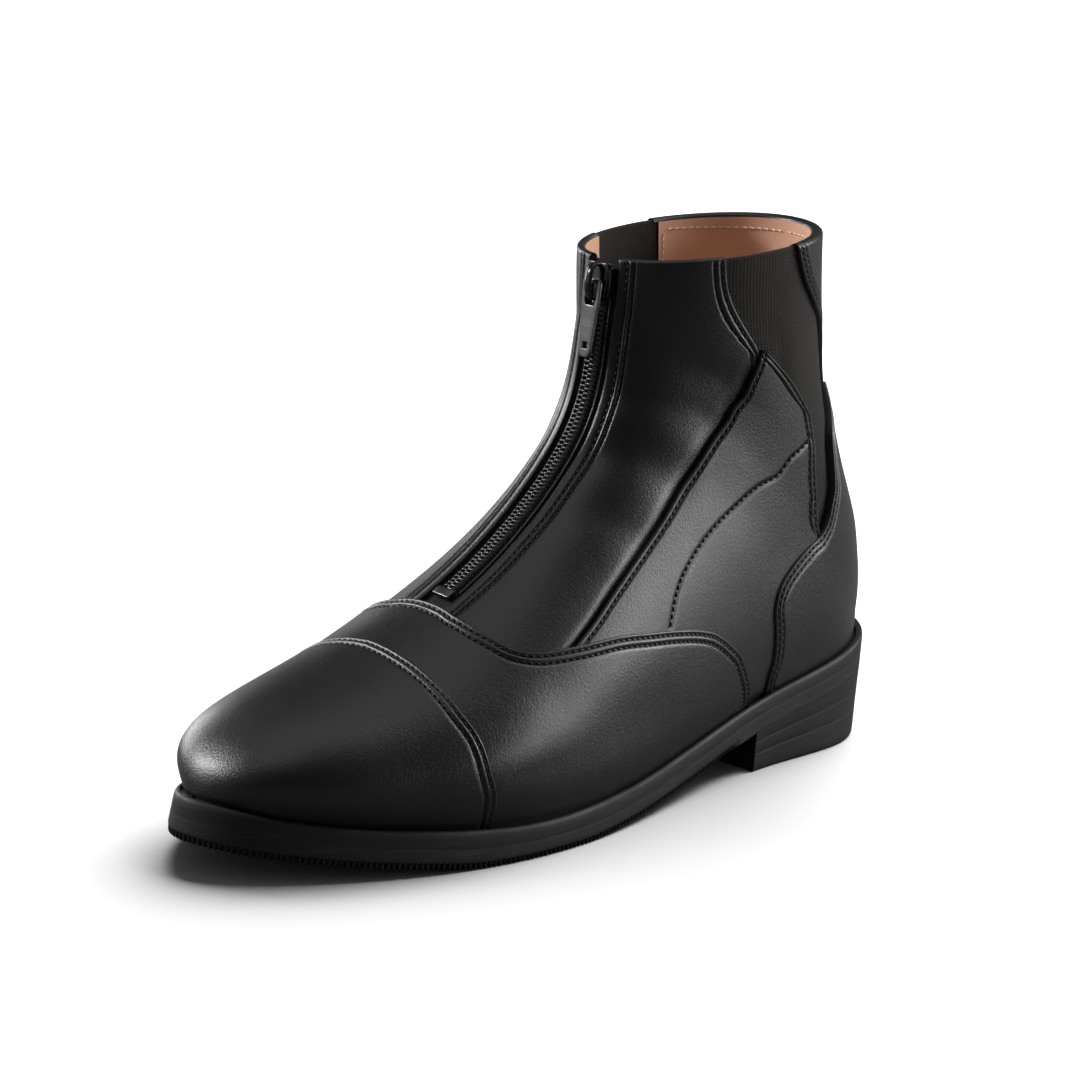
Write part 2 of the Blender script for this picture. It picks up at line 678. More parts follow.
    def shifted(self, path: Array, distance: float) -> Array:
        """A path over the surface moved sideways, to the left seen from outside.

        Args:
            path: Station and share down of each point.
            distance: Millimetres to move.

        Returns:
            The moved path.
        """
        left = np.cross(self.normal(path), unit(np.gradient(self.at(path), axis=0)))
        step_u, step_v = self.probe
        du = (self.at(path + [step_u, 0]) - self.at(path - [step_u, 0])) / (2 * step_u)
        dv = (self.at(path + [0, step_v]) - self.at(path - [0, step_v])) / (2 * step_v)
        uu = (du * du).sum(1)
        vv = (dv * dv).sum(1)
        uv = (du * dv).sum(1)
        lu = (left * du).sum(1)
        lv = (left * dv).sum(1)
        det = np.maximum(uu * vv - uv * uv, 1e-9)
        move = np.stack([(lu * vv - lv * uv) / det, (lv * uu - lu * uv) / det], axis=1)
        return path + move * distance

    def respaced(self, path: Array, step: float) -> Array:
        """Spaces the points of a path evenly over the surface.

        Args:
            path: Station and share down of each point.
            step: Millimetres between points, nearly.

        Returns:
            The evenly spaced path.
        """
        run = run_of(self.at(path))
        count = max(int(round(run[-1] / step)), 2)
        return read_off(np.linspace(0, run[-1], count + 1), run, path)


@dataclass(frozen=True)
class Crease:
    """A soft trough or ridge in the leather, placed by hand."""

    path: tuple[Pair, ...]
    deep: float
    wide: float


CREASES = (
    Crease(((9.6, 0.10), (10.2, 0.18), (10.4, 0.27)), 0.75, 7.0),
    Crease(((11.4, 0.09), (11.9, 0.17), (12.4, 0.25)), 0.65, 6.0),
    Crease(((13.2, 0.12), (13.7, 0.20), (14.2, 0.28)), 0.45, 6.0),
    Crease(((10.5, 0.09), (11.1, 0.18), (11.4, 0.27)), -0.40, 6.0),
    Crease(((8.2, 0.14), (8.7, 0.22), (8.9, 0.30)), 0.45, 7.0),
    Crease(((11.0, 0.38), (11.3, 0.50), (11.2, 0.60)), 0.40, 9.0),
    Crease(((6.3, 0.60), (7.0, 0.72), (7.8, 0.80)), 0.55, 12.0),
    Crease(((9.9, -0.20), (10.3, -0.25), (10.5, -0.30)), 0.60, 6.0),
    Crease(((11.6, -0.18), (12.0, -0.22), (12.4, -0.27)), 0.55, 5.5),
    Crease(((13.0, -0.14), (13.6, -0.22), (14.0, -0.30)), 0.45, 6.0),
    Crease(((11.0, -0.38), (11.3, -0.50), (11.2, -0.60)), 0.40, 9.0),
    Crease(((6.3, -0.60), (7.0, -0.72), (7.8, -0.80)), 0.55, 12.0),
)


def crease_depth(last: Last, points: Array) -> Array:
    """Height that the creases add at points of the surface.

    Args:
        last: The boot's surface.
        points: Points in millimetres, in the last axis.

    Returns:
        Millimetres to add, negative in a trough.
    """
    flat = points.reshape(-1, 3)
    total = np.zeros(len(flat))
    for crease in CREASES:
        knots = np.array(crease.path)
        share = np.linspace(0, 1, CREASE_POINTS)
        line = last.at(read_off(share, np.linspace(0, 1, len(knots)), knots))
        gap = np.min(np.linalg.norm(flat[:, None, :] - line[None, :, :], axis=2), axis=1)
        total -= crease.deep * np.exp(-(gap / crease.wide) ** 2)
    return total.reshape(points.shape[:-1])


def add_mesh(
    name: str, points: Array, faces: Sequence[Sequence[int]], origin: Array, sharp: float = 0.9,
) -> Object:
    """Makes an object in the shared frame from points in millimetres.

    Args:
        name: Name of the piece.
        points: Points, one row each.
        faces: Point numbers of each face.
        origin: The frame's origin in millimetres.
        sharp: Angle in radians above which edges stay sharp.

    Returns:
        The object, linked to the scene.
    """
    mesh = bpy.data.meshes.new(name)
    mesh.from_pydata(((np.asarray(points) - origin) * MM).tolist(), [], [list(face) for face in faces])
    mesh.validate()
    mesh.update()
    mesh.shade_smooth()
    mesh.set_sharp_from_angle(angle=sharp)
    made = bpy.data.objects.new(name, mesh)
    bpy.context.scene.collection.objects.link(made)
    return made


def grid_faces(rows: int, columns: int, first: int = 0, closed: bool = False) -> Array:
    """Faces of a grid of points, given row by row.

    Args:
        rows: Number of rows.
        columns: Number of points in each row.
        first: Number of the first point.
        closed: Whether the rows run round and close.

    Returns:
        Four point numbers for each face.
    """
    wide = columns if closed else columns - 1
    i, j = np.meshgrid(np.arange(rows - 1), np.arange(wide), indexing="ij")
    after = (j + 1) % columns
    a = first + i * columns
    return np.stack([a + j, a + columns + j, a + columns + after, a + after], axis=-1).reshape(-1, 4)


def write_uv(made: Object, uv: Array) -> None:
    """Stores flat coordinates in metres for each point of a mesh.

    Args:
        made: The piece.
        uv: Two millimetre values for each point.
    """
    layer = made.data.uv_layers.new(name="sheet")
    index = np.zeros(len(made.data.loops), np.int32)
    made.data.loops.foreach_get("vertex_index", index)
    layer.data.foreach_set("uv", (uv[index] * MM).astype(np.float32).ravel())


def face_out(made: Object) -> None:
    """Welds the seams of a piece and turns its faces out.

    Args:
        made: The piece.
    """
    work = bmesh.new()
    work.from_mesh(made.data)
    bmesh.ops.remove_doubles(work, verts=work.verts, dist=2e-6)
    bmesh.ops.recalc_face_normals(work, faces=work.faces)
    work.to_mesh(made.data)
    work.free()


# Materials
def add_node(
    tree: Tree, kind: str, values: dict[str | int, Socket | float | tuple[float, ...]], **settings: object,
) -> Node:
    """Adds a node and feeds its inputs.

    Args:
        tree: Node tree.
        kind: Type of the node.
        values: Output to link or number to set, for each input by its name or place.
        settings: Properties of the node, which are set first.

    Returns:
        The node.
    """
    node = tree.nodes.new(kind)
    for name, setting in settings.items():
        setattr(node, name, setting)
    for name, value in values.items():
        if isinstance(value, Socket):
            tree.links.new(value, node.inputs[name])
        else:
            node.inputs[name].default_value = value
    return node


def new_group(
    name: str, place: str, values: dict[str, float], outputs: Sequence[str],
) -> tuple[Tree, Node, Node]:
    """Makes an empty shader node group with named sockets.

    Args:
        name: Name of the group.
        place: Name of its first input, which is a place.
        values: Name and first value of each other input.
        outputs: Name of each output.

    Returns:
        The group, its input node and its output node.
    """
    group = bpy.data.node_groups.new(name, "ShaderNodeTree")
    group.interface.new_socket(name=place, in_out="INPUT", socket_type="NodeSocketVector")
    for label, value in values.items():
        socket = group.interface.new_socket(name=label, in_out="INPUT", socket_type="NodeSocketFloat")
        socket.default_value = value
    for label in outputs:
        group.interface.new_socket(name=label, in_out="OUTPUT", socket_type="NodeSocketFloat")
    return group, group.nodes.new("NodeGroupInput"), group.nodes.new("NodeGroupOutput")


def math_node(tree: Tree, kind: str, first: Socket | float, second: Socket | float = 0.5) -> Socket:
    """Adds a math node for two outputs or numbers, and returns its output."""
    return add_node(tree, "ShaderNodeMath", {0: first, 1: second}, operation=kind).outputs[0]


def added(tree: Tree, first: Socket, first_part: float, second: Socket, second_part: float) -> Socket:
    """Adds two outputs, each times a number of its own, and returns the sum's output."""
    scaled = math_node(tree, "MULTIPLY", first, first_part)
    return math_node(tree, "ADD", scaled, math_node(tree, "MULTIPLY", second, second_part))


def scaled_vector(tree: Tree, vector: Socket, scale: Socket) -> Socket:
    """Adds a node that scales a vector by an output, and returns its output."""
    return add_node(tree, "ShaderNodeVectorMath", {0: vector, "Scale": scale}, operation="SCALE").outputs[0]


def noise(tree: Tree, vector: Socket, scale: float, detail: float = 2.0) -> Socket:
    """Adds a noise texture and returns its value output."""
    values = {"Vector": vector, "Scale": scale, "Detail": detail}
    return add_node(tree, "ShaderNodeTexNoise", values).outputs[0]


def mixed(tree: Tree, share: Socket, low: Colour, high: Colour) -> Socket:
    """Adds a mix from one colour to another, and returns its output."""
    values = {0: share, 6: (*low, 1.0), 7: (*high, 1.0)}
    return add_node(tree, "ShaderNodeMix", values, data_type="RGBA").outputs[2]


def ramped(tree: Tree, value: Socket, span: Sequence[float], out: Sequence[float]) -> Socket:
    """Adds a clamped ramp from a span of values to a span of results, and returns its output."""
    return add_node(tree, "ShaderNodeMapRange", dict(enumerate((value, *span, *out)))).outputs[0]


def grain_group() -> Tree:
    """Pebble, pores and slow change of tone of a leather skin, by place in metres.

    Returns:
        The node group with outputs Height, Tone and Gloss.
    """
    outputs = ("Height", "Tone", "Gloss")
    group, source, sink = new_group("leather_grain", "Place", {"Pebbles": 1000.0}, outputs)
    place = source.outputs["Place"]
    fine = scaled_vector(group, place, source.outputs["Pebbles"])
    drift = add_node(group, "ShaderNodeTexNoise", {"Vector": fine, "Scale": 0.8})
    wobble = add_node(group, "ShaderNodeVectorMath", {0: fine, 1: drift.outputs["Color"]}, operation="ADD")
    values = {"Vector": wobble.outputs[0], "Scale": 1.0, "Smoothness": 0.6}
    cells = add_node(group, "ShaderNodeTexVoronoi", values, feature="SMOOTH_F1")
    pores = noise(group, fine, 2.6, 3.0)
    tone = added(group, noise(group, place, 26.0, 4.0), 0.65, noise(group, place, 140.0, 3.0), 0.35)
    group.links.new(added(group, cells.outputs[0], -0.7, pores, 0.75), sink.inputs["Height"])
    group.links.new(tone, sink.inputs["Tone"])
    group.links.new(added(group, tone, 0.6, pores, 0.4), sink.inputs["Gloss"])
    return group


def weave_group() -> Tree:
    """Ribs and cross threads of a woven band, by flat place in metres.

    Returns:
        The node group with outputs Height and Tone.
    """
    values = {"Ribs": 1000.0, "Threads": 1500.0}
    group, source, sink = new_group("band_weave", "Sheet", values, ("Height", "Tone"))
    sheet = source.outputs["Sheet"]
    parts = add_node(group, "ShaderNodeSeparateXYZ", {0: sheet})
    rib_at = math_node(group, "MULTIPLY", parts.outputs[0], source.outputs["Ribs"])
    rib = math_node(group, "SINE", math_node(group, "MULTIPLY", rib_at, 2 * np.pi))
    thread_at = math_node(group, "MULTIPLY", parts.outputs[1], source.outputs["Threads"])
    thread = math_node(group, "SINE", added(group, thread_at, 2 * np.pi, rib, 1.2))
    both = added(group, rib, 0.12, thread, 0.16)
    raised = added(group, math_node(group, "ADD", both, 0.5), 1.0, noise(group, sheet, 1400.0), 0.55)
    group.links.new(raised, sink.inputs["Height"])
    group.links.new(added(group, raised, 0.6, noise(group, sheet, 60.0, 3.0), 0.4), sink.inputs["Tone"])
    return group


def scuff_group() -> Tree:
    """Fine marks and dusty patches of a moulded or handled surface, by place in metres.

    Returns:
        The node group with outputs Height, Mask and Dust.
    """
    group, source, sink = new_group("scuff_marks", "Place", {"Fineness": 1.0}, ("Height", "Mask", "Dust"))
    place = scaled_vector(group, source.outputs["Place"], source.outputs["Fineness"])
    stretch = add_node(group, "ShaderNodeMapping", {"Vector": place, "Scale": (60.0, 60.0, 900.0)})
    streak = noise(group, stretch.outputs[0], 1.0, 4.0)
    slow = noise(group, place, 34.0, 4.0)
    mask = ramped(group, streak, (0.52, 0.72), (0.0, 1.0))
    group.links.new(added(group, noise(group, place, 900.0), 0.6, streak, 0.4), sink.inputs["Height"])
    group.links.new(math_node(group, "MULTIPLY", mask, slow), sink.inputs["Mask"])
    group.links.new(ramped(group, slow, (0.35, 0.75), (0.0, 1.0)), sink.inputs["Dust"])
    return group


@dataclass(frozen=True)
class Finish:
    """Base of a finish: a material with a shader, a shared effect and a bump."""

    name: str
    colour: Colour
    colour_worn: Colour
    rough: Pair
    bump: float
    bump_mm: float

    def place(self, tree: Tree) -> Socket:
        """Adds the output for the place in metres."""
        return tree.nodes.new("ShaderNodeTexCoord").outputs["Object"]

    def results(self) -> tuple[str, str, str]:
        """The effect's outputs for the bump, the colour and the roughness."""
        return "Height", "Tone", "Gloss"

    def effect_values(self) -> dict[str, float]:
        """Inputs of the effect."""
        return {}

    def shader_values(self) -> dict[str, float]:
        """Inputs of the shader."""
        return {}

    def build(self, group: Tree) -> Material:
        """Makes the material around a shared effect.

        Args:
            group: Node group of the effect.

        Returns:
            The material.
        """
        made = bpy.data.materials.new(self.name)
        made.use_nodes = True
        tree = made.node_tree
        shader = tree.nodes["Principled BSDF"]
        for name, value in self.shader_values().items():
            shader.inputs[name].default_value = value
        values = {0: self.place(tree), **self.effect_values()}
        node = add_node(tree, "ShaderNodeGroup", values, node_tree=group)
        height, tone, gloss = (node.outputs[name] for name in self.results())
        tree.links.new(mixed(tree, tone, self.colour, self.colour_worn), shader.inputs["Base Color"])
        tree.links.new(ramped(tree, gloss, GLOSS_SPAN, self.rough), shader.inputs["Roughness"])
        values = {"Strength": self.bump, "Distance": self.bump_mm * MM, "Height": height}
        tree.links.new(add_node(tree, "ShaderNodeBump", values).outputs[0], shader.inputs["Normal"])
        return made


@dataclass(frozen=True)
class LeatherFinish(Finish):
    """Grained leather."""

    pebbles: float = 1000.0
    coat: float = 0.0
    coat_rough: float = 0.3
    specular: float = 0.5

    def effect_values(self) -> dict[str, float]:
        """Inputs of the grain."""
        return {"Pebbles": self.pebbles}

    def shader_values(self) -> dict[str, float]:
        """Inputs of the shader."""
        coat = {"Coat Weight": self.coat, "Coat Roughness": self.coat_rough}
        return {**coat, "Specular IOR Level": self.specular}


@dataclass(frozen=True)
class BandFinish(Finish):
    """Woven elastic or tape."""

    ribs: float = 900.0
    threads: float = 1400.0
    sheen: float = 0.2
    sheen_rough: float = 0.6
    specular: float = 0.12

    def place(self, tree: Tree) -> Socket:
        """Adds the output for the flat place in metres."""
        return add_node(tree, "ShaderNodeUVMap", {}, uv_map="sheet").outputs[0]

    def results(self) -> tuple[str, str, str]:
        """The weave's outputs for the bump, the colour and the roughness."""
        return "Height", "Tone", "Tone"

    def effect_values(self) -> dict[str, float]:
        """Inputs of the weave."""
        return {"Ribs": self.ribs, "Threads": self.threads}

    def shader_values(self) -> dict[str, float]:
        """Inputs of the shader."""
        sheen = {"Sheen Weight": self.sheen, "Sheen Roughness": self.sheen_rough}
        return {**sheen, "Specular IOR Level": self.specular}


@dataclass(frozen=True)
class MouldedFinish(Finish):
    """Rubber, plastic or metal with fine marks."""

    fineness: float = 1.0
    metallic: float = 0.0
    specular: float = 0.5

    def results(self) -> tuple[str, str, str]:
        """The marks' outputs for the bump, the colour and the roughness."""
        return "Height", "Mask", "Dust"

    def effect_values(self) -> dict[str, float]:
        """Inputs of the marks."""
        return {"Fineness": self.fineness}

    def shader_values(self) -> dict[str, float]:
        """Inputs of the shader."""
        return {"Metallic": self.metallic, "Specular IOR Level": self.specular}


@dataclass
class Wardrobe:
    """Every finish of the boot, built once."""

    def __post_init__(self) -> None:
        """Builds the shared groups and the materials."""
        grain = grain_group()
        weave = weave_group()
        scuff = scuff_group()
        self.leather = LeatherFinish(
            "black_leather", (0.0040, 0.0040, 0.0036), (0.0090, 0.0087, 0.0078), (0.30, 0.44), 0.60, 0.13,
            pebbles=1400.0, coat=0.05, coat_rough=0.25, specular=0.5).build(grain)
        self.lining = LeatherFinish(
            "tan_lining", (0.70, 0.38, 0.25), (0.84, 0.53, 0.38), (0.32, 0.48), 0.35, 0.10,
            pebbles=1400.0, specular=0.35).build(grain)
        self.sock = LeatherFinish(
            "tan_sock", (0.33, 0.19, 0.12), (0.42, 0.26, 0.17), (0.52, 0.70), 0.4, 0.12, pebbles=900.0,
            specular=0.3).build(grain)
        self.elastic = BandFinish(
            "black_elastic", (0.0045, 0.0042, 0.0039), (0.0260, 0.0238, 0.0218), (0.70, 0.90), 0.90, 0.30,
            ribs=780.0, threads=640.0, sheen=0.05).build(weave)
        self.tape = BandFinish(
            "zip_tape_weave", (0.005, 0.005, 0.005), (0.013, 0.013, 0.013), (0.72, 0.9), 0.6, 0.12,
            ribs=1900.0, threads=1500.0, sheen=0.1).build(weave)
        self.thread = MouldedFinish(
            "black_thread", (0.0035, 0.0034, 0.0032), (0.0090, 0.0088, 0.0082), (0.45, 0.60), 0.3, 0.05,
            fineness=2.0, specular=0.3).build(scuff)
        self.tan_thread = MouldedFinish(
            "tan_thread", (0.82, 0.68, 0.54), (0.90, 0.80, 0.68), (0.5, 0.65), 0.3, 0.05,
            fineness=2.0).build(scuff)
        self.rubber = MouldedFinish(
            "black_rubber", (0.0095, 0.0102, 0.0095), (0.028, 0.029, 0.027), (0.52, 0.70), 0.25, 0.08,
            specular=0.32).build(scuff)
        self.coil = MouldedFinish(
            "zip_coil", (0.020, 0.020, 0.019), (0.05, 0.05, 0.048), (0.24, 0.36), 0.2, 0.03,
            fineness=2.0).build(scuff)
        self.metal = MouldedFinish(
            "grey_metal", (0.125, 0.127, 0.13), (0.21, 0.213, 0.215), (0.28, 0.42), 0.15, 0.02, fineness=1.6,
            metallic=1.0).build(scuff)
        self.dark_metal = MouldedFinish(
            "dark_metal", (0.022, 0.022, 0.023), (0.06, 0.061, 0.062), (0.22, 0.36), 0.15, 0.02, fineness=1.6,
            metallic=0.7).build(scuff)


class Thread(Enum):
    """Colour of a stitch row."""

    BLACK = "black"
    TAN = "tan"


@dataclass
class Stitcher:
    """Collects every stitch of the boot and makes one mesh for each thread."""

    last: Last
    origin: Array
    pitch: float = 2.3
    long: float = 1.85
    thick: float = 0.35
    sunk: float = 0.50
    rise: float = 0.24
    taper: float = 0.80
    wide: float = 1.1
    high: float = 0.85
    walk: float = 0.5
    sides: int = 7
    rings: int = 6

    def __post_init__(self) -> None:
        """Starts with no stitches."""
        self.places: dict[Thread, list[Array]] = {thread: [] for thread in Thread}

    def row(self, path: Array, height: float, thread: Thread = Thread.BLACK) -> None:
        """Adds a row of stitches along a path over the surface.

        Args:
            path: Station and share down of points along the row.
            height: Height of the leather under the row.
            thread: Colour of the row.
        """
        even = self.last.respaced(path, self.walk)
        points = self.last.at(even, height + crease_depth(self.last, self.last.at(even)))
        run = run_of(points)
        count = int(run[-1] / self.pitch)
        middles = (np.arange(count) + 0.5) * run[-1] / max(count, 1)
        half = self.long / 2
        begin, end = (read_off(middles + step, run, points) for step in (-half, half))
        out = self.last.normal(read_off(middles, run, even))
        along = unit(end - begin)
        out = unit(out - along * (out * along).sum(1)[:, None])
        self.places[thread].append(np.stack([(begin + end) / 2, along, np.cross(out, along), out], axis=1))

    def build(self, thread: Thread, name: str, material: Material) -> Object:
        """Makes the mesh of every stitch of one thread.

        Args:
            thread: Colour of the rows.
            name: Name of the piece.
            material: Finish of the thread.

        Returns:
            The piece.
        """
        frames = np.concatenate(self.places[thread])
        t = np.linspace(-1, 1, self.rings)
        turn = np.linspace(0, 2 * np.pi, self.sides, endpoint=False)
        girth = self.thick * np.sqrt(np.maximum(1 - self.taper * t ** 4, 0.0))
        lift = self.rise - self.sunk * t ** 4
        local = np.stack([
            np.repeat(t * self.long / 2, self.sides),
            (girth[:, None] * np.cos(turn)).ravel() * self.wide,
            (lift[:, None] + girth[:, None] * np.sin(turn) * self.high).ravel(),
        ], axis=1)
        points = frames[:, 0][:, None, :] + np.einsum("pk,nkc->npc", local, frames[:, 1:])
        size = len(local)
        wall = grid_faces(self.rings, self.sides, closed=True)
        faces = (wall[None] + (np.arange(len(frames)) * size)[:, None, None]).reshape(-1, 4)
        made = add_mesh(name, points.reshape(-1, 3), faces, self.origin, ALL_SMOOTH)
        made.data.materials.append(material)
        return made


@dataclass
class Panel:
    """One sheet over the last between two seams."""

    last: Last
    starts: Array
    ends: Array
    top: float
    start_edge: Edge = Edge.HIDDEN
    end_edge: Edge = Edge.HIDDEN
    start_stitches: tuple[float, ...] = ()
    end_stitches: tuple[float, ...] = ()
    cells: int = 40
    creased: bool = True
    extra: Callable[[Array, Array], Array] | None = None
    start_fade: Array | None = None
    end_fade: Array | None = None
    probes: int = 33
    lean_least: float = 0.35
    fill_most: float = 0.94

    def _distances(self, edge: Edge, stitches: tuple[float, ...]) -> Array:
        """Lists where the sheet has rows near an edge.

        Args:
            edge: How the edge is made.
            stitches: Distances in of the stitched lines.

        Returns:
            Distances in from the edge.
        """
        steps = [row[0] for row in EDGE_PROFILE[edge]]
        for stitch in stitches:
            steps += [stitch + step for step in GROOVE_STEPS]
        if len(stitches) == 2:
            steps.append(sum(stitches) / 2)
        first = [steps[0]] if len(steps) > 1 and steps[0] == steps[1] else []
        return np.array(first + sorted(set(steps)))

    def _share(self, edge: Edge, away: Array, row: Array) -> Array:
        """Works out the share of the full height near an edge.

        Args:
            edge: How the edge is made.
            away: Distances in from the edge.
            row: Numbers of the rows, from 0 at the edge.

        Returns:
            The shares.
        """
        table = EDGE_PROFILE[edge]
        xs = [item[0] for item in table]
        ys = [item[1] for item in table]
        if len(xs) > 1 and xs[0] == xs[1]:
            share = np.interp(away, xs[1:], ys[1:])
            return np.where((row == 0), ys[0], share)
        return np.interp(away, xs, ys)

    def sheet(self) -> Sheet:
        """Works out the grid of the sheet.

        Returns:
            Points in millimetres and flat coordinates, both as rows by columns.
        """
        last = self.last
        share = np.linspace(0, 1, self.probes)
        span = self.starts[:, None, :] + (self.ends - self.starts)[:, None, :] * share[None, :, None]
        lines = last.at(span)
        steps = np.cumsum(np.linalg.norm(np.diff(lines, axis=1), axis=2), axis=1)
        runs = np.concatenate([np.zeros((len(lines), 1)), steps], axis=1)
        near = self._distances(self.start_edge, self.start_stitches)
        far = self._distances(self.end_edge, self.end_stitches)
        leans = []
        for column, step in ((0, 1), (-1, -2)):
            tangent = unit(np.gradient(lines[:, column], axis=0))
            way = unit(lines[:, step] - lines[:, column])
            leans.append(np.clip(np.linalg.norm(np.cross(tangent, way), axis=1), self.lean_least, 1.0))
        total = np.maximum(runs[:, -1], 1e-6)
        need = near[-1] / leans[0] + far[-1] / leans[1]
        fit = np.minimum(1.0, self.fill_most * total / np.maximum(need, 1e-6))
        a = near[None, :] * (fit / leans[0])[:, None]
        b = total[:, None] - far[None, ::-1] * (fit / leans[1])[:, None]
        inner = np.linspace(0, 1, self.cells + 2)[1:-1]
        middle = a[:, -1:] + (b[:, :1] - a[:, -1:]) * inner[None, :]
        places = np.concatenate([a, middle, b], axis=1)
        uv = np.empty(places.shape + (2,))
        for i in range(len(places)):
            part = np.interp(places[i], runs[i], share)
            uv[i] = self.starts[i] + (self.ends[i] - self.starts[i]) * part[:, None]
        from_start = places * leans[0][:, None]
        from_end = (total[:, None] - places) * leans[1][:, None]
        columns = np.arange(places.shape[1])
        plain = np.ones(len(places))
        start_fade = plain if self.start_fade is None else self.start_fade
        end_fade = plain if self.end_fade is None else self.end_fade
        first = self._share(self.start_edge, from_start, columns[None, :])
        second = self._share(self.end_edge, from_end, columns[::-1][None, :])
        first = 1 - (1 - first) * start_fade[:, None]
        second = 1 - (1 - second) * end_fade[:, None]
        height = self.top * np.minimum(first, second)
        for away, stitches, fade in (
                (from_start, self.start_stitches, start_fade), (from_end, self.end_stitches, end_fade)):
            for stitch in stitches:
                height = height - fade[:, None] * GROOVE_DEEP * np.exp(-((away - stitch) / GROOVE_WIDE) ** 2)
            if len(stitches) == 2:
                middle_at = sum(stitches) / 2
                height = height + fade[:, None] * PUFF * np.exp(-((away - middle_at) / PUFF_WIDE) ** 2)
        flat = last.at(uv)
        if self.creased:
            height = height + crease_depth(last, flat)
        if self.extra is not None:
            height = height + self.extra(uv, flat)
        along = run_of(lines[:, self.probes // 2])
        return last.at(uv, height), paired(places, along[:, None])


def joined(
    name: str, sheets: Sequence[Sheet], origin: Array, material: Material, weld: bool = False,
) -> Object:
    """Makes one piece from several sheets.

    Args:
        name: Name of the piece.
        sheets: Grids of points and of flat coordinates.
        origin: The frame's origin in millimetres.
        material: Finish of the piece.
        weld: Whether the sheets share an edge that is welded.

    Returns:
        The piece.
    """
    points, flat, faces = [], [], []
    first = 0
    for grid, coordinates in sheets:
        rows, columns = grid.shape[:2]
        points.append(grid.reshape(-1, 3))
        flat.append(coordinates.reshape(-1, 2))
        faces.append(grid_faces(rows, columns, first))
        first += rows * columns
    made = add_mesh(name, np.concatenate(points), np.concatenate(faces), origin, SHEET_SHARP)
    write_uv(made, np.concatenate(flat))
    if weld:
        face_out(made)
        made.data.shade_smooth()
    made.data.materials.append(material)
    return made


def collar_hem(
    last: Last, uv: Array, outer: float, inner: float, rise: float, steps: int = 8,
) -> Array:
    """Rolled top edge from the outer face over to the inner one.

    Args:
        last: The boot's surface.
        uv: Station and share down along the top edge.
        outer: Height of the outer face.
        inner: Height of the inner face.
        rise: How far the roll stands above the edge.
        steps: Rows in the roll.

    Returns:
        Points, one row for each step.
    """
    up = unit(last.at(uv) - last.at(uv - [0.1, 0.0]))
    rows = []
    for angle in np.linspace(0, np.pi, steps + 1)[1:]:
        height = (outer + inner) / 2 + (outer - inner) / 2 * np.cos(angle)
        rows.append(last.at(uv, height) + up * rise * np.sin(angle))
    return np.stack(rows)


class Assembly:
    """Keeps the pieces of a sub-assembly."""

    pieces: list[Piece]

    def keep(
        self, made: Object, nodes: tuple[str, ...], slot: str,
        finish: Material | None = None,
    ) -> None:
        """Notes a piece for main.

        Args:
            made: The piece.
            nodes: Solids that it stands for.
            slot: Its material slot.
            finish: Its finish, where it has none yet.
        """
        if finish is not None:
            made.data.materials.append(finish)
        self.pieces.append((made, nodes, slot))


